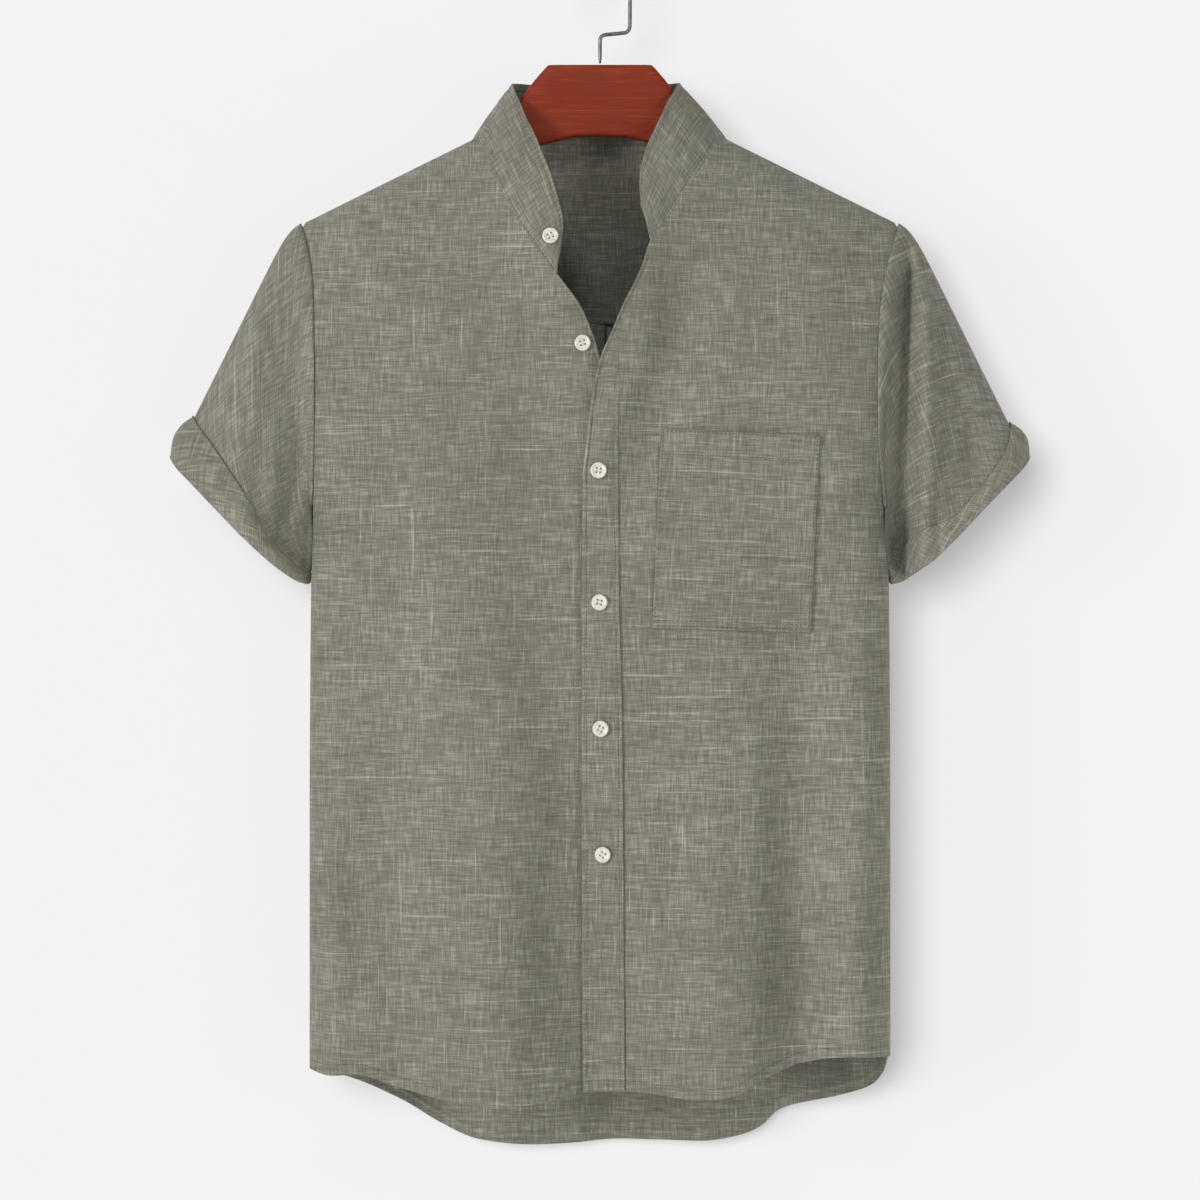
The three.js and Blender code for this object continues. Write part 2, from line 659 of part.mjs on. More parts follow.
const collarPoints = (() => {
  const base = collarBase();
  const lengths = base.map((p, k) => (k ? p.distanceTo(base[k - 1]) : 0));
  const total = lengths.reduce((a, b) => a + b, 0);
  let run = 0;
  const shares = lengths.map((step) => (run += step) / total);
  const topAt = (s) => ["x", "y", "z"].map((key) => read(collarTop, "share", key, s));
  const top = shares.map((s) => new THREE.Vector3(...topAt(s)));
  return Array.from({ length: collarRows }, (_, i) => {
    const v = i / (collarRows - 1);
    return base.map((p, k) => {
      // The two front corners are rounded, and the band bows out a little between its edges.
      const corner = clamp(1 - (Math.min(shares[k], 1 - shares[k]) * total) / collarCorner, 0, 1);
      const q = p.clone().lerp(top[k], v * (1 - 0.2 * corner * corner));
      const out = new THREE.Vector3(q.x, q.y * 1.6, 0).normalize();
      return q.addScaledVector(out, collarBow * Math.sin(Math.PI * v));
    });
  });
})();
addGrid("collar_band", collarPoints, { thickness: collarCloth, facing: -1, onSeam: (i) => i === 0 });

// A piece that lies on part of a panel: the panel's own points, moved out
function laidOn(name, rows, columns, thickness, slack = () => 0) {
  const { points, normals } = grids.get(name);
  const lift = (extra) =>
    points.slice(rows.from, rows.to + 1).map((row, i) =>
      row.slice(columns.from, columns.to + 1).map((p, j) => {
        const off = layerGap + extra + slack(i / (rows.to - rows.from), j / (columns.to - columns.from));
        return p.clone().addScaledVector(normals[i + rows.from][j + columns.from], off);
      }),
    );
  return { outer: lift(thickness), inner: lift(0) };
}

const placketRows = { from: 0, to: rowOf(placketTop) };
const placketWall = laidOn("front_left", placketRows, placketColumns, placketCloth, () => placketSlack);
const pocketWall = laidOn(
  "front_left",
  { from: rowOf(pocket.bottom), to: rowOf(pocket.top) },
  pocketColumns,
  cloth,
  (up, across) => pocket.puff * Math.sin(Math.PI * across) * Math.sin((Math.PI * Math.min(1, up * 1.2)) / 1.5),
);

// Rings whose section is a closed loop, and rows of closed sections with their ends closed
function loopGeometry(sections, ring) {
  const [count, size] = [sections.length, sections[0].length];
  const index = [];
  for (let i = 0; i < (ring ? count : count - 1); i++) {
    for (let j = 0; j < size; j++) {
      const k = (i + 1) % count;
      const [a, b, c, d] = [i * size + j, i * size + ((j + 1) % size), k * size + ((j + 1) % size), k * size + j];
      index.push(a, b, c, a, c, d);
    }
  }
  for (let j = 1; !ring && j + 1 < size; j++) {
    const end = (count - 1) * size;
    index.push(0, j + 1, j, end, end + j, end + j + 1);
  }
  return solidGeometry(sections.flat(), index);
}

// Turned-up band: it rolls out at the sleeve's end and lies back up over the sleeve
function turnUpGeometry(side) {
  const { points, normals } = grids.get("sleeve_" + side);
  const widths = turnUpWidth[side];
  const { topX, topZ, underX, underZ } = sleeveEnd;
  const open = new THREE.Vector3((topZ - underZ) * signOf(side), 0, underX - topX).normalize();
  const { radius, gap, lean, topLean } = turnUp;
  const t = cloth;
  const sections = armholeRing(side).map(({ turn }, j) => {
    const line = points.map((row, i) => ({ p: row[j], n: normals[i][j] })).reverse();
    // A place on the sleeve's surface, some way up from its end
    const upFrom = (distance) => {
      let left = distance;
      for (let k = 0; k + 1 < line.length; k++) {
        const span = line[k].p.distanceTo(line[k + 1].p);
        if (left <= span || k + 2 === line.length) {
          const s = Math.min(1, left / span);
          const p = line[k].p.clone().lerp(line[k + 1].p, s);
          return { p, n: line[k].n.clone().lerp(line[k + 1].n, s).normalize() };
        }
        left -= span;
      }
    };
    const width = read(widths, "turn", "width", turn);
    const nearTop = Math.pow((1 + Math.cos(2 * Math.PI * turn)) / 2, 4);
    const faceOut = [];
    const faceIn = [];
    for (const [share, off] of [
      [1, gap],
      [0.5, gap + lean * (1 + topLean * nearTop)],
    ]) {
      const { p, n } = upFrom(width * share);
      faceOut.push(p.clone().addScaledVector(n, off + t));
      faceIn.push(p.clone().addScaledVector(n, off));
    }
    const { p: end, n } = line[0];
    for (const degrees of [180, 125, 60, 0]) {
      const angle = (degrees * Math.PI) / 180;
      const middle = end.clone().addScaledVector(n, -t / 2 + radius * (1 - Math.cos(angle)));
      middle.addScaledVector(open, 2 * layerGap + radius * Math.sin(angle));
      const away = n.clone().multiplyScalar(-Math.cos(angle)).addScaledVector(open, Math.sin(angle));
      faceOut.push(middle.clone().addScaledVector(away, t / 2));
      faceIn.push(middle.clone().addScaledVector(away, -t / 2));
    }
    return [...faceOut, ...faceIn.reverse()];
  });
  return loopGeometry(sections, true);
}

// Button: a disc with a raised rim and four holes, its back at the origin and its face towards +Y of its own frame
const wasm = await Module();
wasm.setup();

function toSolid(geometry) {
  const plain = geometry.index ? geometry.toNonIndexed() : geometry.clone();
  const bare = new THREE.BufferGeometry().setAttribute("position", plain.getAttribute("position"));
  const merged = mergeVertices(bare, 1e-4);
  const [vertProperties, triVerts] = [merged.attributes.position.array, new Uint32Array(merged.index.array)];
  return new wasm.Manifold(new wasm.Mesh({ numProp: 3, vertProperties, triVerts }));
}

function toGeometry(solid) {
  const mesh = solid.getMesh();
  const geometry = new THREE.BufferGeometry();
  geometry.setAttribute("position", new THREE.BufferAttribute(new Float32Array(mesh.vertProperties), 3));
  geometry.setIndex(new THREE.BufferAttribute(new Uint32Array(mesh.triVerts), 1));
  geometry.computeVertexNormals();
  return geometry;
}

const buttonGeometry = (() => {
  const { radius, thickness, rim, hole, holePlace, corners } = button;
  const profile = [
    [0, 0],
    [radius * 0.85, 0],
    [radius, thickness * 0.45],
    [radius * 0.9, thickness],
    [radius * 0.68, thickness - rim],
    [0, thickness - rim],
  ].map(([r, y]) => new THREE.Vector2(r, y));
  let solid = toSolid(new THREE.LatheGeometry(profile, corners));
  for (const [sx, sz] of [
    [-1, -1],
    [1, -1],
    [-1, 1],
    [1, 1],
  ]) {
    const drill = new THREE.CylinderGeometry(hole, hole, 3 * thickness, 6);
    drill.translate(sx * holePlace, 0, sz * holePlace);
    solid = solid.subtract(toSolid(drill));
  }
  return toGeometry(solid);
})();

// Nearest place on a wall's outer face to a point seen from the front, and the direction that face looks there
function seatOn(outer, x, z) {
  const spot = new THREE.Vector3();
  const normal = new THREE.Vector3();
  const triangle = new THREE.Triangle();
  for (let i = 0; i + 1 < outer.length; i++) {
    for (let j = 0; j + 1 < outer[0].length; j++) {
      const [a, b, c, d] = [outer[i][j], outer[i][j + 1], outer[i + 1][j + 1], outer[i + 1][j]];
      for (const corners of [
        [a, b, c],
        [a, c, d],
      ]) {
        const [p, q, r] = corners;
        const area = (q.x - p.x) * (r.z - p.z) - (r.x - p.x) * (q.z - p.z);
        const s = ((x - p.x) * (r.z - p.z) - (r.x - p.x) * (z - p.z)) / area;
        const t = ((q.x - p.x) * (z - p.z) - (x - p.x) * (q.z - p.z)) / area;
        const y = p.y + s * (q.y - p.y) + t * (r.y - p.y);
        if (s >= 0 && t >= 0 && s + t <= 1 && y < spot.y) {
          spot.set(x, y, z);
          triangle.set(p, q, r).getNormal(normal);
        }
      }
    }
  }
  return { spot, normal: normal.y > 0 ? normal.negate() : normal };
}

// Hanger
function hangerGeometry() {
  const { from, to, stations, height, halfFrom, halfTo, clearance } = hangerArm;
  const slant = Math.hypot(1, shoulderSlope);
  const arm = Array.from({ length: stations + 1 }, (_, i) => {
    const t = i / stations;
    const x = mix(from, to, t);
    const top = ridgeHeight(x) - (cloth + clearance) * slant;
    return { x, top, bottom: top - height * mix(1, 0.86, t), half: mix(halfFrom, halfTo, t), blunt: 0.95 };
  });
  const tip = last(arm);
  arm.push({ x: tip.x + 5, top: tip.top - 6, bottom: tip.bottom + 4, half: tip.half * 0.6, blunt: 0.8 });
  const half = [...hangerBlock, ...arm];
  const full = [...half.slice(1).map((row) => ({ ...row, x: -row.x })).reverse(), ...half];
  const corners = 12;
  const sections = full.map(({ x, top, bottom, half: thick, blunt }) => {
    const soft = (k) => Math.sign(k) * Math.pow(Math.abs(k), blunt);
    const peak = soft(Math.sin((2 * Math.PI * 2.5) / corners));
    return Array.from({ length: corners }, (_, i) => {
      const angle = (2 * Math.PI * (i + 0.5)) / corners;
      const rise = (soft(Math.sin(angle)) / peak) * ((top - bottom) / 2);
      return new THREE.Vector3(x, thick * soft(Math.cos(angle)), (top + bottom) / 2 + rise);
    });
  });
  return loopGeometry(sections, false);
}

function hookGeometry() {
  const { wire, bend, foot, kneeLow, kneeHigh, tip, corners } = hook;
  const centre = wire - bend;
  const curve = (...corners) => new THREE.QuadraticBezierCurve(...corners.map(([x, y]) => new THREE.Vector2(x, y)));
  const path = [
    new THREE.Vector2(0, foot),
    ...curve([0, kneeLow - 1], [0, kneeLow + 3], [4.5, kneeLow + 3.4]).getPoints(4),
    ...curve([bend - 4.5, kneeHigh], [bend, kneeHigh + 0.5], [bend, kneeHigh + 6]).getPoints(4),
    ...Array.from({ length: 17 }, (_, i) => {
      const angle = (Math.PI * i) / 16;
      return new THREE.Vector2(bend * Math.cos(angle), centre + bend * Math.sin(angle));
    }),
    new THREE.Vector2(-bend, tip),
  ];
  const sections = path.map((p, i) => {
    const along = path[Math.min(i + 1, path.length - 1)].clone().sub(path[Math.max(i - 1, 0)]).normalize();
    return Array.from({ length: corners }, (_, k) => {
      const angle = (2 * Math.PI * k) / corners;
      const side = wire * Math.cos(angle);
      return new THREE.Vector3(p.x - along.y * side, wire * Math.sin(angle), p.y + along.x * side);
    });
  });
  return loopGeometry(sections, false);
}

// Materials
const shirting = new THREE.MeshStandardMaterial({ color: 0x838175, roughness: 0.92 });
const shell = new THREE.MeshStandardMaterial({ color: 0xe4e2d8, roughness: 0.35 });
const redwood = new THREE.MeshStandardMaterial({ color: 0x8a3a22, roughness: 0.4 });
const steel = new THREE.MeshStandardMaterial({ color: 0x8b8d90, roughness: 0.3, metalness: 0.9 });

// The shirt
const shirt = new THREE.Group();

function add(name, geometry, material) {
  const mesh = new THREE.Mesh(geometry, material);
  mesh.name = name;
  shirt.add(mesh);
  return mesh;
}

const walls = new Map([...grids].map(([name, grid]) => [name, wallOf(grid)]));
for (const [name, wall] of walls) add(name, wallGeometry(wall, grids.get(name).ring), shirting);
add("placket", wallGeometry(placketWall, false), shirting);
add("chest_pocket", wallGeometry(pocketWall, false), shirting);
for (const side of ["right", "left"]) add("turn_up_" + side, turnUpGeometry(side), shirting);

const [collarFace, rightFace] = ["collar_band", "front_right"].map((name) => walls.get(name).outer);
const seats = { collar: collarFace, right: rightFace, placket: placketWall.outer };
for (const { name, x, z, on } of buttons) {
  const { spot, normal } = seatOn(seats[on], x, z);
  // The cloth under the rim may stand higher than at the middle.
  const rimSpots = Array.from({ length: 8 }, (_, k) => {
    const angle = (Math.PI * k) / 4;
    return seatOn(seats[on], x + 5 * Math.cos(angle), z + 5 * Math.sin(angle)).spot;
  });
  const rise = Math.max(0, ...rimSpots.map((p) => p.sub(spot).dot(normal)));
  const mesh = add(name, buttonGeometry, shell);
  mesh.quaternion.setFromUnitVectors(new THREE.Vector3(0, 1, 0), normal);
  mesh.position.copy(spot).addScaledVector(normal, layerGap + rise);
}

add("hanger_wood", hangerGeometry(), redwood);
add("hanger_hook", hookGeometry(), steel);

export default shirt;
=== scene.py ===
import math
import bpy
import bmesh
import numpy as np
from mathutils import Matrix, Vector


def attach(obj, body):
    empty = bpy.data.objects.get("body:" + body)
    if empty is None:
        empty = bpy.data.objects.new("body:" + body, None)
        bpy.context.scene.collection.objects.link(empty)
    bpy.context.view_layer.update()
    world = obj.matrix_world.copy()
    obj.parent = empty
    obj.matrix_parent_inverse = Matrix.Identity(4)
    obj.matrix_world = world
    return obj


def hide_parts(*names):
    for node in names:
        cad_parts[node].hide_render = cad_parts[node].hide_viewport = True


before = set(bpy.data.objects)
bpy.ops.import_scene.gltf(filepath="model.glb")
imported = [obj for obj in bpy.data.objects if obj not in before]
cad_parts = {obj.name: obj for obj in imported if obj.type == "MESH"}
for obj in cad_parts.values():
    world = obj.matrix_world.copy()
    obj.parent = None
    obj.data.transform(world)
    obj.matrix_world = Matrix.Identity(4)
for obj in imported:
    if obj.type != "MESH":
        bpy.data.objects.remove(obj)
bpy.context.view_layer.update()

# Lengths are millimetres until a mesh is made. +Z is up and the shirt's front faces -Y.
# The origin is the underside of the hook's crest.

shirt = {
    "cloth": 1.2,
    "collarCloth": 2.0,
    "placketCloth": 1.0,
    "neckHalfWidth": 88.5,
    "neckHeight": -137.7,
    "shoulderSlope": 0.4955,
    "shoulderRound": 120.0,
    "shoulderTip": -203.2,
    "underarm": -411.0,
    "yokeSeam": -274.5,
    "neckTop": -141.0,
    "hemStart": -850.0,  # level of the lowest row, before it is moved to the hem
    "placketTop": -285.0,
    "overlapLift": 3.2,
}

# torso section at each height: half width, depth to front and back, how far off centre it hangs
torso = {
    "z": [-90, -141, -206, -290, -357, -411, -470, -640, -890],
    "width": [232, 232, 231, 228, 220, 210.5, 213.5, 214.6, 214.6],
    "front": [34, 38, 44, 49, 51, 52, 53, 54, 56],
    "back": [30, 33, 37, 41, 43, 44, 45, 47, 51],
    "sway": [0, 0, 0, -3, -3, -1.5, 0, 0, 0],
}
armhole = {
    "z": [-203.2, -220, -240, -266, -316, -357, -395, -411],
    "x": [220.7, 215.5, 211, 208, 206.5, 206.8, 208.9, 210.5],
}
edges = {
    "right": {
        "z": [-141, -152, -166, -186, -207, -226.5, -243.5, -252, -265.7, -286.8, -303.4, -333, -363, -481, -860],
        "x": [-88.5, -84, -78.4, -69.2, -57, -43.7, -31.1, -24.5, -14.5, -5.2, 0.2, 8.6, 13, 14.6, 16],
    },
    "left": {
        "z": [-141, -152.4, -168.7, -190, -205, -219, -236, -247, -265.7, -286.8, -306, -333, -363, -392, -481, -629, -860],
        "x": [88.5, 80, 69.6, 56.2, 47, 36.5, 31, 26.5, 16.9, 8, 0, -5.8, -9.5, -12.3, -13.1, -13.1, -12.4],
    },
}
collarEnds = {"right": -243.5, "left": -219.0}
placketSeam = {"z": [-285, -308, -363, -481, -599, -860], "x": [19.5, 15.6, 13, 14.2, 16.8, 18.4]}
hems = {
    "front": {
        "x": [-214.6, -198, -178, -145, -110, -75, -38, -12, 19, 74, 98, 120, 152, 184, 214.6],
        "z": [-826, -829, -828, -838, -846, -849, -846, -840, -839, -844, -841.5, -830, -819, -815, -817],
    },
    "back": {
        "x": [-214.6, -208, -196, -180, -150, -120, -90, -45, 30, 75, 104, 120, 135, 180, 203, 211, 214.6],
        "z": [-826, -830, -834, -839.5, -855, -874, -886, -889.5, -886, -886.5, -883, -877, -864, -850.5, -842, -832, -817],
    },
}

# long folds: place at chest and hem, full lift at the hem, width, height of the top
folds = {
    "front": [
        (-196, -196, 3, 15, -300),
        (-158, -146, -10, 26, -190),
        (-114, -70, 13, 36, -210),
        (-58, -4, -11, 32, -300),
        (70, 84, 11, 38, -320),
        (148, 145, -16, 25, -330),
        (196, 194, 6, 18, -400),
    ],
    "back": [
        (-160, -176, -7, 24, -300),
        (-98, -122, 9, 30, -290),
        (-52, -64, -6, 24, -320),
        (68, 78, -6, 24, -320),
        (112, 132, 9, 30, -290),
        (168, 182, -7, 24, -300),
    ],
}

hemCut = {"width": 7.0, "thick": 0.6, "pressed": 0.5}
edgeCut = {"roll": 0.9, "rollAt": 1.0, "pressed": 0.5, "pressedAt": 3.0}

# soft creases over those: from (x, z) to (x, z), lift and width
creases = {
    "front": [
        (-205, -380, -150, -470, -1.6, 9),
        (-196, -400, -118, -560, 1.3, 12),
        (205, -392, 168, -520, -1.5, 9),
        (80, -215, 22, -400, -6, 20),
        (40, -262, -2, -400, 2.2, 12),
        (-40, -300, -96, -420, 1.2, 14),
        (-128, -600, -112, -830, 1.6, 9),
        (-30, -560, -44, -840, -1.4, 11),
        (118, -560, 108, -820, 1.5, 10),
        (52, -620, 46, -840, -1.3, 9),
        (-188, -640, -180, -825, -1.4, 8),
        (182, -600, 176, -812, 1.3, 8),
    ],
    "back": [
        (-200, -400, -150, -520, -1.5, 10),
        (200, -400, 152, -520, -1.5, 10),
        (-88, -560, -96, -870, 1.5, 10),
        (94, -580, 100, -870, 1.5, 10),
        (-150, -620, -146, -850, -1.3, 9),
        (152, -640, 158, -850, -1.3, 9),
        (-60, -290, -72, -480, 1.1, 12),
        (64, -290, 76, -480, 1.1, 12),
    ],
}


def mix(a, b, t):
    return a + (b - a) * t


def ease(t):
    c = np.clip(t, 0, 1)
    return c * c * (3 - 2 * c)


def bell(d):
    return np.exp(-d * d)


def read(table, key, column, at):
    xs = np.array(table[key], float)
    ys = np.array(table[column], float)
    if xs[-1] < xs[0]:
        xs, ys = xs[::-1], ys[::-1]
    rise = np.diff(ys) / np.diff(xs)
    slopes = np.empty_like(ys)
    slopes[0], slopes[-1] = rise[0], rise[-1]
    a, b = rise[:-1], rise[1:]
    product = a * b
    slopes[1:-1] = np.where(product > 0, 2 * product / np.where(product > 0, a + b, 1), 0)
    at = np.clip(np.asarray(at, float), xs[0], xs[-1])
    i = np.clip(np.searchsorted(xs, at) - 1, 0, len(xs) - 2)
    span = xs[i + 1] - xs[i]
    t = (at - xs[i]) / span
    t2, t3 = t * t, t * t * t
    ends = ys[i] * (2 * t3 - 3 * t2 + 1) + ys[i + 1] * (3 * t2 - 2 * t3)
    return ends + span * (slopes[i] * (t3 - 2 * t2 + t) + slopes[i + 1] * (t3 - t2))


def softNoise(a, b, seed):
    lattice = np.random.default_rng(seed).uniform(-1, 1, (64, 64))
    ia, ib = np.floor(a).astype(int), np.floor(b).astype(int)
    fa, fb = ease(a - ia), ease(b - ib)
    low = mix(lattice[ia % 64, ib % 64], lattice[(ia + 1) % 64, ib % 64], fa)
    high = mix(lattice[ia % 64, (ib + 1) % 64], lattice[(ia + 1) % 64, (ib + 1) % 64], fa)
    return mix(low, high, fb)


def ridgeHeight(x):
    return shirt["neckHeight"] - (np.abs(x) - shirt["neckHalfWidth"]) * shirt["shoulderSlope"]


def ridgeHalf(z):
    return shirt["neckHalfWidth"] + (shirt["neckHeight"] - z) / shirt["shoulderSlope"]


def sway(z):
    return read(torso, "z", "sway", z)


def outerEdge(z):
    z = np.asarray(z, float)
    low = np.where(z > shirt["underarm"], read(armhole, "z", "x", z), read(torso, "z", "width", z))
    return np.where(z >= shirt["shoulderTip"], ridgeHalf(z), low)


# small wrinkles of linen, on every piece of the body
def crumple(side, x, z):
    seed = {"right": 3, "left": 5, "back": 7}[side]
    broad = 1.1 * softNoise(x / 46 + 9, z / 90 + 40, seed)
    middle = 0.42 * softNoise(x / 17 + 9, z / 30 + 60, seed + 20)
    fine = 0.14 * softNoise(x / 6.5 + 19, z / 9 + 150, seed + 40)
    return broad + middle + fine


def foldLift(face, x, z):
    total = 0 * x
    down = np.clip((z + 300) / -520, -0.3, 1.1)
    for chest, hem, lift, spread, top in folds[face]:
        total = total + lift * ease((top - z) / (top + 800)) * bell((x - mix(chest, hem, down)) / spread)
    for x0, z0, x1, z1, lift, spread in creases[face]:
        along = (z - z0) / (z1 - z0)
        window = ease((along + 0.15) / 0.35) * ease((1.2 - along) / 0.4)
        middle = mix(x0, x1, along) + 5 * np.sin(along * 3.1 + x0)
        total = total + lift * window * bell((x - middle) / spread)
    return total


def lapelLift(side, x, z):
    away = np.abs(x - read(edges[side], "z", "x", z))
    window = ease((z + 410) / 110) * ease((-165 - z) / 75)
    return (14 if side == "left" else 8) * window * bell(away / 46)


# a seam presses the cloth down a little on both sides of it
def seamDip(side, x, z):
    dip = 0.5 * bell((np.abs(x - sway(z)) - outerEdge(z)) / 3.5) * (z < shirt["shoulderTip"]) * (z > shirt["underarm"] - 6)
    if side == "back":
        dip = dip + 0.5 * bell((z - shirt["yokeSeam"]) / 3.0)
    return dip


# the hem is turned under twice and sewn: a slightly thicker strip with a pressed line above it
def hemFold(face, x, z):
    above = z - read(hems[face], "x", "z", x)
    strip = hemCut["thick"] * (1 - ease((above - hemCut["width"] + 0.9) / 1.2))
    return strip - hemCut["pressed"] * bell((above - hemCut["width"] - 0.7) / 1.0)


# the front edge is folded over: a fine roll with a pressed line beside it, above the buttoned part
def edgeRoll(side, x, z):
    away = np.abs(x - read(edges[side], "z", "x", z))
    window = ease((z + 470) / 90) * ease((collarEnds[side] - z) / 14)
    return window * (edgeCut["roll"] * bell((away - edgeCut["rollAt"]) / 0.9) - edgeCut["pressed"] * bell((away - edgeCut["pressedAt"]) / 0.7))


def depth(side, x, z):
    face = "back" if side == "back" else "front"
    across = np.clip(np.abs(x - sway(z)) / read(torso, "z", "width", z), 0, 1)
    section = (1 - across**3.0) ** (1 / 3.0)
    below = np.clip((ridgeHeight(x - sway(z)) - z) / shirt["shoulderRound"], 0, 1)
    crown = (1 - (1 - below) ** 2.2) ** (1 / 2.2)
    inside = ease((1 - across) / 0.1) * ease(below / 0.1)
    d = read(torso, "z", face, z) * section * crown
    d = d + (foldLift(face, x, z) + crumple(side, x, z)) * inside - seamDip(side, x, z) * np.minimum(1, d / 6)
    if side != "back":
        d = d + (lapelLift(side, x, z) + edgeRoll(side, x, z)) * inside
    d = d + hemFold(face, x, z) * np.minimum(1, d / 6)
    if side == "left":
        d = d + (shirt["overlapLift"] + crumple("right", x, z) - crumple("left", x, z)) * inside * ease((60 - x) / 32) * ease((-170 - z) / 50)
    return np.maximum(d, 0)


def torsoPoint(side, x, z):
    x, z = np.broadcast_arrays(np.asarray(x, float), np.asarray(z, float))
    return np.stack([x, depth(side, x, z) * (1 if side == "back" else -1), z], -1)


def torsoNormal(side, x, z):
    h = 0.6
    dx = (depth(side, x + h, z) - depth(side, x - h, z)) / (2 * h)
    dz = (depth(side, x, z + h) - depth(side, x, z - h)) / (2 * h)
    n = np.stack([-dx, np.full_like(dx, 1 if side == "back" else -1), -dz], -1)
    return n / np.linalg.norm(n, axis=-1, keepdims=True)


# rows and columns of shares from 0 to 1
def shares(columns, rows):
    return np.meshgrid(np.linspace(0, 1, columns + 1), np.linspace(0, 1, rows + 1))


# how far along its threads each point of a grid lies, with the threads kept straight and even
def threadPlaces(points):
    stepAcross = np.linalg.norm(np.diff(points, axis=1), axis=-1)
    stepAlong = np.linalg.norm(np.diff(points, axis=0), axis=-1)
    across = np.zeros(points.shape[:2])
    along = np.zeros(points.shape[:2])
    across[:, 1:] = np.cumsum(stepAcross.mean(axis=0))
    along[1:] = np.cumsum(stepAlong.mean(axis=1))[:, None]
    return across - across[:, -1:] * 0.5, along


# on the body the threads run level and upright: lengths over a plain section of the torso
def bodyGrain(points, face):
    x = np.linspace(-235, 235, 471)
    d = read(torso, "z", face, -520) * (1 - np.clip(np.abs(x) / 236, 0, 1) ** 2.4) ** (1 / 2.4)
    runX = np.concatenate([[0], np.cumsum(np.hypot(1, np.diff(d)))])
    z = np.linspace(-900, -90, 811)
    d = read(torso, "z", face, z) * (1 - (1 - np.clip((-165 - z) / 120, 0, 1)) ** 2.2) ** (1 / 2.2)
    runZ = np.concatenate([[0], np.cumsum(np.hypot(1, np.diff(d)))])
    return np.interp(points[..., 0], x, runX), np.interp(points[..., 2], z, runZ)


# Makes one piece of cloth: a grid drawn onto its surface, then given its wall.
# facing turns the faces outwards, offset is where the wall lies: -1 inwards from the surface, 0 both ways.
def clothPiece(name, points, wall, facing, closed=False, offset=-1.0, node=None, flatShift=(0, 0), turn=0.0, grain=None):
    rows, columns = points.shape[0] - 1, points.shape[1] - 1
    bm = bmesh.new()
    uvLayer = bm.loops.layers.uv.new("cloth")
    bmesh.ops.create_grid(bm, x_segments=columns, y_segments=rows, size=1)
    across, along = threadPlaces(points) if grain is None else grain
    c, s = math.cos(turn), math.sin(turn)
    place = {}
    for vert in bm.verts:
        j = round((vert.co.x + 1) / 2 * columns)
        i = round((vert.co.y + 1) / 2 * rows)
        place[vert] = (i, j)
    for face in bm.faces:
        face.smooth = True
        for loop in face.loops:
            i, j = place[loop.vert]
            u, v = across[i, j] + flatShift[0], along[i, j] + flatShift[1]
            loop[uvLayer].uv = ((u * c - v * s) / 1000, (u * s + v * c) / 1000)
    for vert, (i, j) in place.items():
        vert.co = points[i, j] / 1000
    if closed:
        bmesh.ops.remove_doubles(bm, verts=bm.verts, dist=1e-5)
    if facing < 0:
        bmesh.ops.reverse_faces(bm, faces=bm.faces)
    mesh = bpy.data.meshes.new(name)
    bm.to_mesh(mesh)
    bm.free()
    piece = bpy.data.objects.new(name, mesh)
    bpy.context.scene.collection.objects.link(piece)
    solid = piece.modifiers.new("wall", "SOLIDIFY")
    solid.thickness = wall / 1000
    solid.offset = offset
    solid.use_even_offset = not closed
    solid.thickness_clamp = 1.0
    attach(piece, "root")
    if node:
        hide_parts(node)
    piece["area"] = float(
        np.linalg.norm(np.cross(points[1:, :-1] - points[:-1, :-1], points[:-1, 1:] - points[:-1, :-1]), axis=-1).sum() / 1e6
    )
    return piece


# the lowest tenth of the rows lie close together, where the hem is folded
def hemRows(v):
    return np.where(v < 0.1, v * 0.28, 0.028 + (v - 0.1) * 0.972 / 0.9)


# fronts
def frontPoints(side, columns=118, rows=176):
    u, v = shares(columns, rows)
    v = hemRows(v)
    sign = 1 if side == "left" else -1
    level = mix(shirt["hemStart"], shirt["neckTop"], v)
    outer = sway(level) + sign * outerEdge(level)
    inner = read(edges[side], "z", "x", level)
    x = mix(outer, inner, (1 - hemRows(1 - u)) ** 1.45)
    z = level + (read(hems["front"], "x", "z", x) - shirt["hemStart"]) * ease((-740 - level) / 110)
    return torsoPoint(side, x, z)


grids = {side: frontPoints(side) for side in ("right", "left")}
frontRight = clothPiece("shirt_front_right", grids["right"], shirt["cloth"], 1, node="front_right", flatShift=(-137, 61), grain=bodyGrain(grids["right"], "front"))
frontLeft = clothPiece("shirt_front_left", grids["left"], shirt["cloth"], -1, node="front_left", flatShift=(33, 0), grain=bodyGrain(grids["left"], "front"))
print("fronts made", round(frontRight["area"], 4), round(frontLeft["area"], 4))


# back with its box pleat, and yoke
pleat = {"middle": 7.0, "reach": 30.0, "halfWidth": 17.0, "opened": -700.0, "fluteHeight": 9.0}
sideShare = np.linspace(0, 1, 56) ** 1.4


def pleatSection(z):
    folded = np.array([(-30, 0), (-6, 0), (-4.8, 0.16), (-6, 0.32), (-15.6, 0.32), (-17, 1.66), (-15.6, 3), (0, 3)])
    count = len(folded) - 1
    k = np.arange(count + 1) / count
    opened = np.stack([-pleat["reach"] * (1 - k), pleat["fluteHeight"] * ease(k)], -1)
    open_ = ease((shirt["yokeSeam"] - 12 - z) / (shirt["yokeSeam"] - 12 - pleat["opened"]))
    half = mix(folded, opened, open_)
    dense = np.linspace(0, count, 4 * count + 1)
    half = np.stack([np.interp(dense, np.arange(count + 1), half[:, axis]) for axis in (0, 1)], -1)
    return np.vstack([half, (half * (-1, 1))[-2::-1]])[1:-1]


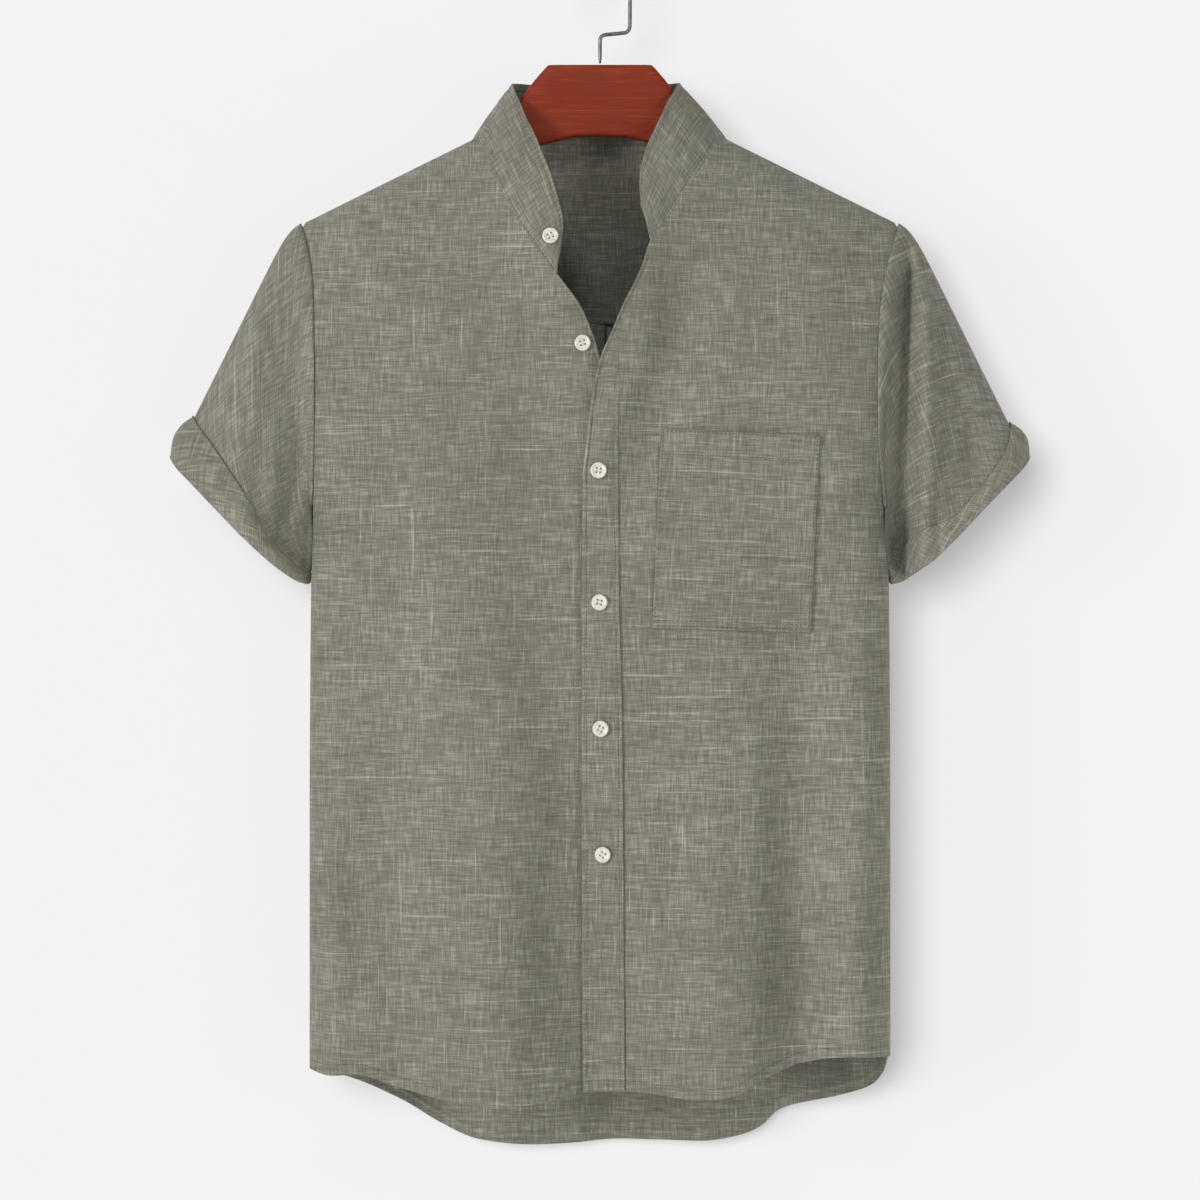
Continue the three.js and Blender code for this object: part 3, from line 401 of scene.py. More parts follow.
def backPoints(low, high, rows, hem):
    grid = []
    left, right = pleat["middle"] - pleat["reach"], pleat["middle"] + pleat["reach"]
    share = np.linspace(0, 1, rows + 1)
    for level in mix(low, high, hemRows(share) if hem else share):
        half = float(outerEdge(level))
        x = np.concatenate([mix(sway(level) - half, left, sideShare), mix(sway(level) + half, right, sideShare)[::-1]])
        drop = ease((-740 - level) / 110) if hem else 0
        z = level + (read(hems["back"], "x", "z", x) - shirt["hemStart"]) * drop
        row = torsoPoint("back", x, z)
        section = pleatSection(level if hem else -290)
        middleX = pleat["middle"] + section[:, 0]
        middleZ = level + (read(hems["back"], "x", "z", middleX) - shirt["hemStart"]) * drop
        a, b = row[len(sideShare) - 1], row[len(sideShare)]
        t = ((section[:, 0] + pleat["reach"]) / (2 * pleat["reach"]))[:, None]
        base = mix(a, b, t) if hem else torsoPoint("back", np.linspace(left, right, len(section) + 2)[1:-1], np.full(len(section), level))
        if hem:
            base[:, 1] += section[:, 1]
            base[:, 2] = middleZ
        grid.append(np.vstack([row[: len(sideShare)], base, row[len(sideShare) :]]))
    return np.array(grid)


grids["back"] = backPoints(shirt["hemStart"], shirt["yokeSeam"] + 1.2, 150, True)
grids["yoke"] = backPoints(shirt["yokeSeam"], shirt["neckTop"], 44, False)
backPanel = clothPiece("shirt_back", grids["back"], shirt["cloth"], -1, node="back_panel", flatShift=(0, 900), grain=bodyGrain(grids["back"], "back"))
yoke = clothPiece("shirt_yoke", grids["yoke"], shirt["cloth"], -1, node="back_yoke", flatShift=(411, 0), grain=bodyGrain(grids["yoke"], "back"))
print("back made", round(backPanel["area"], 4), round(yoke["area"], 4))


# sleeves and their turned-up bands
sleeve = {
    "end": {"topX": 315.5, "topZ": -377, "underX": 217.6, "underZ": -469.5, "front": 24, "back": 22, "bulge": 3.5, "topCorner": 2.2, "underCorner": 2.4},
    "backFolds": 0.35,
    "folds": {
        "right": [(-226, -238, -217, -448, -10, 14), (-252, -262, -262, -400, 6, 16)],
        "left": [(227, -230, 225, -446, -25, 10.5), (242, -262, 238, -436, 7, 10)],
    },
    "creases": {
        "right": [(-262, -300, -248, -440, -2.2, 8), (-232, -330, -252, -452, 2.4, 8), (-216, -360, -236, -440, -3, 6)],
        "left": [(262, -290, 278, -412, -2.0, 9), (236, -340, 258, -440, 2.4, 8), (290, -330, 262, -420, -1.6, 10)],
    },
}


# the way out of a sleeve's end, square to its opening as seen from the front
def openingOut(side):
    end = sleeve["end"]
    out = np.array([(end["topZ"] - end["underZ"]) * (1 if side == "left" else -1), 0, end["underX"] - end["topX"]], float)
    return out / np.linalg.norm(out)


def sleevePoint(side, turn, v):
    sign = 1 if side == "left" else -1
    end = sleeve["end"]
    angle = 2 * math.pi * turn
    share = (1 - np.cos(angle)) / 2
    z = mix(shirt["shoulderTip"], shirt["underarm"], share)
    x = sway(z) + sign * outerEdge(np.minimum(z, shirt["shoulderTip"] - 1e-6))
    front = torsoPoint(side, x, z)
    back = torsoPoint("back", x, z)
    start = np.where((turn <= 0.5)[..., None], front, back)
    turnRound = np.sin(angle)
    deep = np.where(turnRound > 0, end["front"], end["back"])
    finish = np.stack([sign * mix(end["topX"], end["underX"], share), -turnRound * deep, mix(end["topZ"], end["underZ"], share)], -1)
    corners = end["topCorner"] * np.clip(1 - share / 0.1, 0, 1) ** 2 + end["underCorner"] * np.clip(1 - (1 - share) / 0.08, 0, 1) ** 2
    finish = finish + openingOut(side) * (end["bulge"] * np.sin(math.pi * share**2) - corners)[..., None]
    p = mix(start, finish, v[..., None])
    leave = (1 - np.exp(-v / 0.045)) * (1 - v) ** 1.15
    over, under = (1 - share) ** 3, share**3
    hug = 3.0 * (1 - np.exp(-v / 0.03)) * (1 - v) ** 3 - 2.1 * np.sin(math.pi * v)
    p[..., 0] += sign * (6.5 * leave * over + hug * under)
    p[..., 2] += 1.6 * leave * over
    p[..., 1] -= 5 * turnRound * np.abs(turnRound) * np.sin(math.pi * np.minimum(1, v * 1.15))
    strength = ease(np.abs(turnRound) * 1.6) * np.minimum(1, v / 0.1) * (1 - 0.6 * ease((v - 0.78) / 0.22))
    strength = strength * np.where(turnRound > 0, 1, sleeve["backFolds"])
    for x0, z0, x1, z1, lift, spread in sleeve["folds"][side]:
        along = np.clip((p[..., 2] - z0) / (z1 - z0), -0.15, 1.1)
        aside = p[..., 0] - mix(x0, x1, along)
        widened = spread * (0.7 + 0.6 * along) * np.where(aside < 0, 1.45, 0.6)
        shape = ease((along + 0.15) / 0.3) * bell(aside / widened) * (0.75 + 0.5 * along)
        p[..., 1] -= np.sign(turnRound) * lift * strength * shape
    for x0, z0, x1, z1, lift, spread in sleeve["creases"][side]:
        along = (p[..., 2] - z0) / (z1 - z0)
        shape = ease((along + 0.1) / 0.4) * ease((1.15 - along) / 0.4) * bell((p[..., 0] - mix(x0, x1, along)) / spread)
        p[..., 1] -= np.sign(turnRound) * lift * strength * shape
    wobble = 0.7 * softNoise(p[..., 0] / 22 + 30, p[..., 2] / 30 + 60, 11) + 0.14 * softNoise(p[..., 0] / 6 + 90, p[..., 2] / 8 + 120, 12)
    p[..., 1] -= np.sign(turnRound) * wobble * strength
    return p


def sleeveFrame(side, turn, v):
    h = 2e-3
    p = sleevePoint(side, turn, v)
    along = sleevePoint(side, (turn + h) % 1, v) - sleevePoint(side, (turn - h) % 1, v)
    out = sleevePoint(side, turn, np.minimum(1, v + h)) - sleevePoint(side, turn, np.maximum(0, v - h))
    n = np.cross(along, out) * (1 if side == "left" else -1)
    return p, n / np.maximum(np.linalg.norm(n, axis=-1, keepdims=True), 1e-9)


# a sleeve's grid starts and ends along its underside, where its seam is
def sleevePoints(side):
    u, v = shares(150, 74)
    return sleevePoint(side, (u + 0.5) % 1, v)


turnUp = {
    "radius": 2.1,
    "radiusUnder": 1.2,
    "gap": 1.5,
    "gapUnder": 0.5,
    "lean": 2.4,
    "leanTop": 4.6,
    "start": 0.6,
    "right": {"turn": [0, 0.1, 0.225, 0.33, 0.5, 0.75, 1], "width": [33, 32, 24, 10, 7, 20, 33]},
    "left": {"turn": [0, 0.17, 0.25, 0.33, 0.42, 0.5, 0.75, 1], "width": [28, 12, 9.5, 20, 16, 13, 20, 28]},
}


def turnUpPoints(side, columns=150, arc=14, band=20):
    end = sleeve["end"]
    sign = 1 if side == "left" else -1
    turn = (np.linspace(0, 1, columns + 1) + 0.5) % 1
    one = np.ones_like(turn)
    foot, n = sleeveFrame(side, turn, one)
    n[-1] = n[0]
    opening = openingOut(side)
    length = np.linalg.norm(sleevePoint(side, turn, one) - sleevePoint(side, turn, 0 * one), axis=-1)
    width = read(turnUp[side], "turn", "width", turn) + 0.7 * softNoise(turn * 14, 0 * turn, 31)
    t = shirt["cloth"]
    top, under = (((1 + k * np.cos(2 * math.pi * turn)) / 2) ** 4 for k in (1, -1))
    r = mix(turnUp["radius"], turnUp["radiusUnder"], under)
    gap = mix(turnUp["gap"], turnUp["gapUnder"], under)
    lean = mix(mix(turnUp["lean"], turnUp["leanTop"], top), 0, under)
    rows = []
    for k in range(arc + 1):
        angle = math.pi * k / arc
        middle = foot + n * (-t / 2 + r * (1 - math.cos(angle)))[:, None]
        rows.append(middle + opening * (turnUp["start"] + r * math.sin(angle))[:, None])
    for k in range(1, band + 1):
        share = k / band
        v = 1 - width * share / length
        p, m = sleeveFrame(side, turn, v)
        m[-1] = m[0]
        bulge = lean * math.sin(math.pi * min(1, share * 1.05)) * (1 + 0.35 * softNoise(turn * 9, 0 * turn + share * 2, 33))
        off = mix(2 * r - t / 2, gap + t / 2, share) + bulge
        rows.append(p + m * off[:, None])
    return np.array(rows)


sleeves, bands = {}, {}
for side, facing in (("right", -1), ("left", 1)):
    sleeves[side] = clothPiece("sleeve_cloth_" + side, sleevePoints(side), shirt["cloth"], -facing, True, node="sleeve_" + side, turn=0.5 * facing)
    bands[side] = clothPiece("cuff_cloth_" + side, turnUpPoints(side), shirt["cloth"], facing, True, 0.0, node="turn_up_" + side, turn=0.5 * facing)
    print("sleeve", side, round(sleeves[side]["area"], 4), round(bands[side]["area"], 4))


# collar
collar = {
    "share": [0, 0.05, 0.1, 0.16, 0.21, 0.26, 0.31, 0.37, 0.45, 0.52, 0.59, 0.67, 0.73, 0.79, 0.84, 0.89, 0.95, 1],
    "x": [-28, -27, -31.5, -40, -48.2, -58, -65, -58, -31, -2, 26, 52, 58.5, 52, 44.6, 35.5, 29.5, 28],
    "y": [-52, -50, -45, -36, -27, -16, -2, 14, 24, 27, 24, 14, -2, -15, -26, -37, -45, -51],
    "z": [-222, -205.5, -184, -157.5, -138.5, -117, -99.5, -97.5, -98, -98, -98, -97.5, -98.5, -109.5, -125.5, -146, -167, -187],
    "bow": 1.4,
    "corner": 14.0,
}


def neckSeam(count):
    top = shirt["neckTop"]
    half = float(ridgeHalf(top))
    line = {}
    for side in ("right", "left"):
        z = np.linspace(collarEnds[side], top, 60)
        line[side] = torsoPoint(side, read(edges[side], "z", "x", z), z)
    yokeTop = torsoPoint("back", np.linspace(-half, half, 90), np.full(90, top))
    path = np.vstack([line["right"], yokeTop, line["left"][::-1]])
    run = np.concatenate([[0], np.cumsum(np.linalg.norm(np.diff(path, axis=0), axis=-1))])
    at = np.linspace(0, run[-1], count)
    return np.stack([np.interp(at, run, path[:, k]) for k in range(3)], -1), run[-1]


collarStitch = (0.07, 0.92)


def collarPoints(columns=210, rows=44):
    base, total = neckSeam(columns + 1)
    s = np.linspace(0, 1, columns + 1)
    top = np.stack([read(collar, "share", key, s) for key in "xyz"], -1)
    corner = np.clip(1 - np.minimum(s, 1 - s) * total / collar["corner"], 0, 1)
    grid = []
    for v in np.linspace(0, 1, rows + 1):
        up = top - base
        start = -1.2 / np.linalg.norm(up, axis=-1)  # the band laps the neck seam
        reach = mix(start, 1, v) * (1 - 0.2 * corner * corner * v)
        q = base + up * reach[:, None]
        out = q * (1, 1.6, 0)
        out /= np.linalg.norm(out, axis=-1, keepdims=True)
        wave = 0.9 * softNoise(s * 13, 0 * s + v * 1.5, 51) * v + 0.3 * softNoise(s * 60, 0 * s + v * 5, 52)
        pressed = 0.45 * (bell((v - collarStitch[0]) * 30) + bell((v - collarStitch[1]) * 30))
        q = q + out * (collar["bow"] * math.sin(math.pi * v) + wave - pressed)[:, None]
        grid.append(q)
    return np.array(grid)


collarBand = clothPiece("collar_cloth", collarPoints(), shirt["collarCloth"], -1, node="collar_band", flatShift=(0, 300))
print("collar made", round(collarBand["area"], 4))


# placket and pocket, on the left front
def laidPoints(x, z, off):
    return torsoPoint("left", x, z) + torsoNormal("left", x, z) * off[..., None]


placketFade = (-410.0, -345.0)  # between these levels the band sinks into the lapel above it
placketStitch = (0.12, 0.9)  # shares of the band's width at which it is sewn


def placketPoints():
    u, v = shares(40, 240)
    level = mix(shirt["hemStart"], shirt["placketTop"], v)
    x0 = read(edges["left"], "z", "x", level)
    x1 = read(placketSeam, "z", "x", level)
    x = mix(x0, x1, u)
    z = level + (read(hems["front"], "x", "z", x) - shirt["hemStart"]) * ease((-740 - level) / 110)
    pucker = 0.22 * softNoise(z / 9 + 200, u * 3 + 7, 61)
    pressed = 0.4 * (bell((u - placketStitch[1]) * 26) + bell((u - placketStitch[0]) * 26))
    sunk = ease((level - placketFade[0]) / (placketFade[1] - placketFade[0])) * (1.2 + 0.25 * u)
    return laidPoints(x, z, 0.55 + shirt["placketCloth"] + pucker - pressed - sunk)


pocket = {"top": (44.4, -356.2, 160.5, -360.8), "bottom": (38, -501.5, 154, -504.8), "puff": 1.5, "gap": 0.9}


def pocketPlace(u, v):
    tx0, tz0, tx1, tz1 = pocket["top"]
    bx0, bz0, bx1, bz1 = pocket["bottom"]
    return mix(mix(bx0, bx1, u), mix(tx0, tx1, u), v), mix(mix(bz0, bz1, u), mix(tz0, tz1, u), v)


def pocketPoints():
    u, v = shares(64, 78)
    x, z = pocketPlace(u, v)
    edge = np.minimum(np.minimum(u, 1 - u) * 116, v * 146)
    pucker = 0.25 * softNoise(u * 18, v * 22, 71) * bell(edge / 7)
    slack = pocket["puff"] * np.sin(math.pi * u) * np.sin(math.pi * np.minimum(1, v * 1.2) / 1.5)
    sag = 0.7 * bell((v - 1) * 8) * np.sin(math.pi * u)
    return laidPoints(x, z, pocket["gap"] + shirt["cloth"] + slack + sag + pucker - 0.3 * bell((edge - 3) / 1.6))


placket = clothPiece("placket_cloth", placketPoints(), shirt["placketCloth"], 1, node="placket", flatShift=(0, 3))
chestPocket = clothPiece("pocket_cloth", pocketPoints(), shirt["cloth"], 1, node="chest_pocket", flatShift=(95, 351))
print("placket and pocket made", round(placket["area"], 4), round(chestPocket["area"], 4))

# stitches: short threads laid along lines on the cloth
stitch = {"length": 2.6, "pitch": 3.3, "thick": 0.55}


def stitchRows(name, lines):
    bm = bmesh.new()
    for points, normals in lines:
        run = np.concatenate([[0], np.cumsum(np.linalg.norm(np.diff(points, axis=0), axis=-1))])
        for at in np.arange(stitch["pitch"], run[-1] - stitch["length"], stitch["pitch"]):
            a, b = (np.array([np.interp(at + d, run, points[:, k]) for k in range(3)]) for d in (0, stitch["length"]))
            n = np.array([np.interp(at, run, normals[:, k]) for k in range(3)])
            x = Vector(b - a).normalized()
            z = Vector(n).normalized()
            y = z.cross(x).normalized()
            z = x.cross(y)
            turn = Matrix((x, y, z)).transposed().to_4x4()
            size = Matrix.Diagonal((stitch["length"] / 1000, stitch["thick"] / 1000, stitch["thick"] / 1500, 1))
            middle = Matrix.Translation(Vector((a + b) / 2000) + z * 0.00004)
            bmesh.ops.create_icosphere(bm, subdivisions=1, radius=0.5, matrix=middle @ turn @ size)
    for face in bm.faces:
        face.smooth = True
    mesh = bpy.data.meshes.new(name)
    bm.to_mesh(mesh)
    bm.free()
    piece = bpy.data.objects.new(name, mesh)
    bpy.context.scene.collection.objects.link(piece)
    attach(piece, "root")
    return piece


def gridLine(points, i=None, j=None, facing=1):
    n = np.cross(np.gradient(points, axis=1), np.gradient(points, axis=0)) * facing
    n /= np.maximum(np.linalg.norm(n, axis=-1, keepdims=True), 1e-9)
    return (points[i], n[i]) if i is not None else (points[:, j], n[:, j])


def frontLine(side, x, z, off=0.0):
    p = torsoPoint(side, x, z)
    n = torsoNormal(side, x, z)
    return p + n * off, n


placketGrid, pocketGrid, collarGrid = placketPoints(), pocketPoints(), collarPoints()
bandGrids = {side: turnUpPoints(side) for side in ("right", "left")}
stitches = [
    [line[:185] for line in gridLine(placketGrid, j=round(placketStitch[1] * 40))],
    [line[:185] for line in gridLine(placketGrid, j=round(placketStitch[0] * 40))],
    gridLine(pocketGrid, i=77),
    gridLine(pocketGrid, i=68),
    gridLine(pocketGrid, i=1),
    gridLine(pocketGrid, i=3),
    gridLine(pocketGrid, j=1),
    gridLine(pocketGrid, j=63),
    gridLine(collarGrid, i=round(collarStitch[1] * 44), facing=-1),
    gridLine(collarGrid, i=round(collarStitch[0] * 44), facing=-1),
    # along the turn-ups' upper edges the dark thread also stands in for the shade line between band and sleeve: painted
    # shade
    gridLine(bandGrids["right"], i=-3, facing=1),
    gridLine(bandGrids["left"], i=-3, facing=-1),
]
stitchThread = stitchRows("stitch_thread", stitches)
hemLines = []
for side, (a, b) in {"right": (-213, 12), "left": (-11, 213)}.items():
    x = np.linspace(a, b, 200)
    hemLines.append(frontLine(side, x, read(hems["front"], "x", "z", x) + hemCut["width"] + 0.6))
x = np.linspace(-213, 213, 300)
hemLines.append(frontLine("back", x, read(hems["back"], "x", "z", x) + hemCut["width"] + 0.6))
hemThread = stitchRows("hem_thread", hemLines)
print("stitches made")

# buttons
button = {
    "radius": 6.0,
    "thickness": 2.4,
    "profile": [(0, 0), (4.6, 0), (5.5, 0.35), (5.95, 1.1), (5.9, 1.75), (5.5, 2.25), (5.0, 2.4), (4.5, 2.3), (4.0, 1.95), (3.4, 1.75), (0, 1.7)],
    "holePlace": 1.45,
    "hole": 0.72,
    "places": {
        "button_collar": (-36, -216, "collar"),
        "button_2": (-12.5, -294, "right"),
        "button_3": (-1.4, -386.5, "placket"),
        "button_4": (0, -481.7, "placket"),
        "button_5": (0.9, -573.5, "placket"),
        "button_6": (2.2, -666.7, "placket"),
    },
}


def buttonMesh():
    bm = bmesh.new()
    ring = [bm.verts.new((r / 1000, 0, y / 1000)) for r, y in button["profile"]]
    lines = [bm.edges.new(pair) for pair in zip(ring, ring[1:])]
    bmesh.ops.spin(bm, geom=ring + lines, cent=(0, 0, 0), axis=(0, 0, 1), angle=2 * math.pi, steps=48, use_merge=True)
    bmesh.ops.remove_doubles(bm, verts=bm.verts, dist=1e-6)
    bmesh.ops.recalc_face_normals(bm, faces=bm.faces)
    mesh = bpy.data.meshes.new("button_blank")
    bm.to_mesh(mesh)
    bm.free()
    blank = bpy.data.objects.new("button_blank", mesh)
    bpy.context.scene.collection.objects.link(blank)
    bm = bmesh.new()
    for sx in (-1, 1):
        for sy in (-1, 1):
            where = Matrix.Translation((sx * button["holePlace"] / 1000, sy * button["holePlace"] / 1000, 0.001))
            r = button["hole"] / 1000
            bmesh.ops.create_cone(bm, cap_ends=True, segments=16, radius1=r, radius2=r, depth=0.006, matrix=where)
    drillMesh = bpy.data.meshes.new("drill")
    bm.to_mesh(drillMesh)
    bm.free()
    drill = bpy.data.objects.new("drill", drillMesh)
    bpy.context.scene.collection.objects.link(drill)
    cut = blank.modifiers.new("holes", "BOOLEAN")
    cut.operation, cut.object, cut.solver = "DIFFERENCE", drill, "EXACT"
    done = bpy.data.meshes.new_from_object(blank.evaluated_get(bpy.context.evaluated_depsgraph_get()))
    for thing in (blank, drill):
        bpy.data.objects.remove(thing)
    return done


def gridSpot(points, x, z, facing):
    gap = (points[..., 0] - x) ** 2 + (points[..., 2] - z) ** 2 + 1e3 * (points[..., 1] > 0)
    i, j = np.unravel_index(np.argmin(gap), gap.shape)
    i0, i1, j0, j1 = max(0, i - 4), min(points.shape[0] - 1, i + 4), max(0, j - 4), min(points.shape[1] - 1, j + 4)
    n = np.cross(points[i, j1] - points[i, j0], points[i1, j] - points[i0, j]) * facing
    return points[i, j], n / np.linalg.norm(n)


blankButton = buttonMesh()
buttons, threads = [], []
for name, (x, z, on) in button["places"].items():
    if on == "collar":
        spot, n = gridSpot(collarGrid, x, z, -1)
    elif on == "right":
        spot, n = torsoPoint("right", x, z), torsoNormal("right", np.array(float(x)), np.array(float(z)))
    else:
        spot, n = gridSpot(placketGrid, x, z, 1)
    turn = Vector((0, 0, 1)).rotation_difference(Vector(n)).to_matrix().to_4x4()
    spin = Matrix.Rotation(0.5 + 1.3 * len(buttons), 4, "Z")
    place = Matrix.Translation(Vector(spot) / 1000 + Vector(n) * 0.0006) @ turn @ spin
    mesh = blankButton.copy()
    mesh.transform(place)
    piece = bpy.data.objects.new(name + "_shell", mesh)
    bpy.context.scene.collection.objects.link(piece)
    for face in mesh.polygons:
        face.use_smooth = True
    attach(piece, "root")
    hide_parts(name)
    buttons.append(piece)
    bm = bmesh.new()
    for sx in (-1, 1):
        bar = Matrix.Translation((sx * 0.00145, 0, 0.00185)) @ Matrix.Diagonal((0.0008, 0.0034, 0.0006, 1))
        bmesh.ops.create_icosphere(bm, subdivisions=2, radius=0.5, matrix=place @ bar)
    threadMesh = bpy.data.meshes.new(name + "_thread")
    bm.to_mesh(threadMesh)
    bm.free()
    thread = bpy.data.objects.new(name + "_thread", threadMesh)
    bpy.context.scene.collection.objects.link(thread)
    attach(thread, "root")
    threads.append(thread)
print("buttons made")


# hanger
def smoothCopy(name, node, levels, hardness=0.0):
    bm = bmesh.new()
    bm.from_mesh(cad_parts[node].data)
    bmesh.ops.remove_doubles(bm, verts=bm.verts, dist=1e-5)
    bmesh.ops.join_triangles(bm, faces=bm.faces, angle_face_threshold=0.7, angle_shape_threshold=0.9)
    bmesh.ops.recalc_face_normals(bm, faces=bm.faces)
    for face in bm.faces:
        face.smooth = True
    mesh = bpy.data.meshes.new(name)
    bm.to_mesh(mesh)
    bm.free()
    piece = bpy.data.objects.new(name, mesh)
    bpy.context.scene.collection.objects.link(piece)
    crease = piece.data.attributes.new("crease_edge", "FLOAT", "EDGE")
    for edge in piece.data.edges:
        a, b = (piece.data.vertices[k].co for k in edge.vertices)
        # the rings round the wood keep their place where the block's outline turns
        crease.data[edge.index].value = hardness if abs(a.x - b.x) < 0.0005 and abs(a.x) < 0.08 else 0
    smooth = piece.modifiers.new("smooth", "SUBSURF")
    smooth.levels = smooth.render_levels = levels
    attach(piece, "root")
    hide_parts(node)
    return piece


hangerWood = smoothCopy("hanger_beech", "hanger_wood", 2, 0.8)
hangerHook = smoothCopy("hook_wire", "hanger_hook", 2)
print("hanger made")


# materials
def linear(code):
    parts = [int(code[k : k + 2], 16) / 255 for k in (0, 2, 4)]
    return [p / 12.92 if p <= 0.04045 else ((p + 0.055) / 1.055) ** 2.4 for p in parts] + [1]


def addNode(tree, kind, links=None, **settings):
    node = tree.nodes.new(kind)
    for key, value in settings.items():
        setattr(node, key, value)
    for socket, value in (links or {}).items():
        target = node.inputs[socket]
        if isinstance(value, bpy.types.NodeSocket):
            tree.links.new(value, target)
        else:
            target.default_value = value
    return node


def newMaterial(name):
    material = bpy.data.materials.new(name)
    material.use_nodes = True
    tree = material.node_tree
    return material, tree, tree.nodes["Principled BSDF"]


# slub linen, plain woven and washed: uneven light and dark threads both ways, dry and matt.
# Its threads are 0.5 mm apart and are drawn about 1.5 mm apart so that they show.
def linenMaterial():
    look = {
        "dark": "5b594c",
        "middle": "7f7d70",
        "light": "aeac9f",
        # threads to the metre across and along, where the pattern starts, detail
        "noises": {
            "warp": (820.0, 60.0, 3.1, 2.0),
            "weft": (60.0, 820.0, 17.3, 2.0),
            "slubWarp": (520.0, 14.0, 31.7, 1.0),
            "slubWeft": (12.0, 520.0, 47.9, 1.0),
            "darkWeft": (10.0, 364.0, 71.3, 1.0),
            "cloudy": (16.0, 11.0, 5.5, 3.0),
        },
        # from low to high becomes from start to end
        "ranges": {
            "slubWarp": (0.66, 0.82, 0.0, 1.0),
            "slubWeft": (0.64, 0.8, 0.0, 1.0),
            "darkWeft": (0.62, 0.85, 0.0, 1.0),
            "cloudy": (0.3, 0.7, -0.07, 0.07),
        },
        "slubTone": 0.36,
        "darkTone": -0.2,
        "slubHeight": 0.5,
        "bump": 0.3,
    }
    material, tree, shader = newMaterial("slub_linen")
    uv = addNode(tree, "ShaderNodeUVMap", uv_map="cloth").outputs["UV"]
    made = {}
    for name, (across, along, start, detail) in look["noises"].items():
        place = {"Vector": uv, "Scale": (across, along, 1), "Location": (start, start * 0.7, start * 0.3)}
        scaled = addNode(tree, "ShaderNodeMapping", place).outputs[0]
        noise = {"Vector": scaled, "Scale": 1.0, "Detail": detail, "Roughness": 0.55}
        made[name] = addNode(tree, "ShaderNodeTexNoise", noise).outputs["Fac"]
    for name, (low, high, start, end) in look["ranges"].items():
        limits = {"Value": made[name], "From Min": low, "From Max": high, "To Min": start, "To Max": end}
        made[name] = addNode(tree, "ShaderNodeMapRange", limits).outputs[0]
    weave = addNode(tree, "ShaderNodeMath", {0: made["warp"], 1: made["weft"]}, operation="ADD").outputs[0]
    slub = addNode(tree, "ShaderNodeMath", {0: made["slubWarp"], 1: made["slubWeft"]}, operation="MAXIMUM").outputs[0]
    tone = addNode(tree, "ShaderNodeMapRange", {"Value": weave, "From Min": 0.5, "From Max": 1.5}).outputs[0]
    for value, weight in ((made["cloudy"], 1.0), (slub, look["slubTone"]), (made["darkWeft"], look["darkTone"])):
        tone = addNode(tree, "ShaderNodeMath", {0: value, 1: weight, 2: tone}, operation="MULTIPLY_ADD").outputs[0]
    ramp = addNode(tree, "ShaderNodeValToRGB", {"Fac": tone})
    ramp.color_ramp.elements[0].position = 0.0
    ramp.color_ramp.elements[0].color = linear(look["dark"])
    ramp.color_ramp.elements[1].position = 1.0
    ramp.color_ramp.elements[1].color = linear(look["light"])
    ramp.color_ramp.elements.new(0.5).color = linear(look["middle"])
    tree.links.new(ramp.outputs[0], shader.inputs["Base Color"])
    half = addNode(tree, "ShaderNodeMath", {0: weave, 1: 0.5}, operation="MULTIPLY").outputs[0]
    raised = {0: slub, 1: look["slubHeight"], 2: half}
    height = addNode(tree, "ShaderNodeMath", raised, operation="MULTIPLY_ADD").outputs[0]
    bump = addNode(tree, "ShaderNodeBump", {"Height": height, "Strength": look["bump"], "Distance": 0.0006})
    tree.links.new(bump.outputs[0], shader.inputs["Normal"])
    shader.inputs["Roughness"].default_value = 0.88
    shader.inputs["Sheen Weight"].default_value = 0.12
    shader.inputs["Sheen Roughness"].default_value = 0.6
    shader.inputs["Specular IOR Level"].default_value = 0.25
    return material


# polyester sewing thread, a little smoother than linen, in the tone it is given: the pale button thread has its own
# tone, the seam thread is darker than the cloth as painted shade
def threadMaterial(name, code):
    material, tree, shader = newMaterial(name)
    place = addNode(tree, "ShaderNodeTexCoord").outputs["Object"]
    noise = addNode(tree, "ShaderNodeTexNoise", {"Vector": place, "Scale": 900.0, "Detail": 2.0})
    shade = addNode(tree, "ShaderNodeMapRange", {"Value": noise.outputs["Fac"], "To Min": 0.75, "To Max": 1.15})
    tint = addNode(tree, "ShaderNodeVectorMath", {0: linear(code)[:3], "Scale": shade.outputs[0]}, operation="SCALE")
    tree.links.new(tint.outputs[0], shader.inputs["Base Color"])
    shader.inputs["Roughness"].default_value = 0.6
    return material


# cast resin with a pearly look: creamy, faintly cloudy, moulded smooth
def buttonMaterial():
    material, tree, shader = newMaterial("pearl_resin")
    place = addNode(tree, "ShaderNodeTexCoord").outputs["Object"]
    cloud = addNode(tree, "ShaderNodeTexNoise", {"Vector": place, "Scale": 320.0, "Detail": 3.0, "Distortion": 0.8})
    ramp = addNode(tree, "ShaderNodeValToRGB", {"Fac": cloud.outputs["Fac"]})
    ramp.color_ramp.elements[0].position = 0.3
    ramp.color_ramp.elements[0].color = linear("cfccbd")
    ramp.color_ramp.elements[1].position = 0.7
    ramp.color_ramp.elements[1].color = linear("efede2")
    tree.links.new(ramp.outputs[0], shader.inputs["Base Color"])
    shader.inputs["Roughness"].default_value = 0.28
    shader.inputs["IOR"].default_value = 1.5
    shader.inputs["Subsurface Weight"].default_value = 0.15
    shader.inputs["Subsurface Scale"].default_value = 0.002
    return material


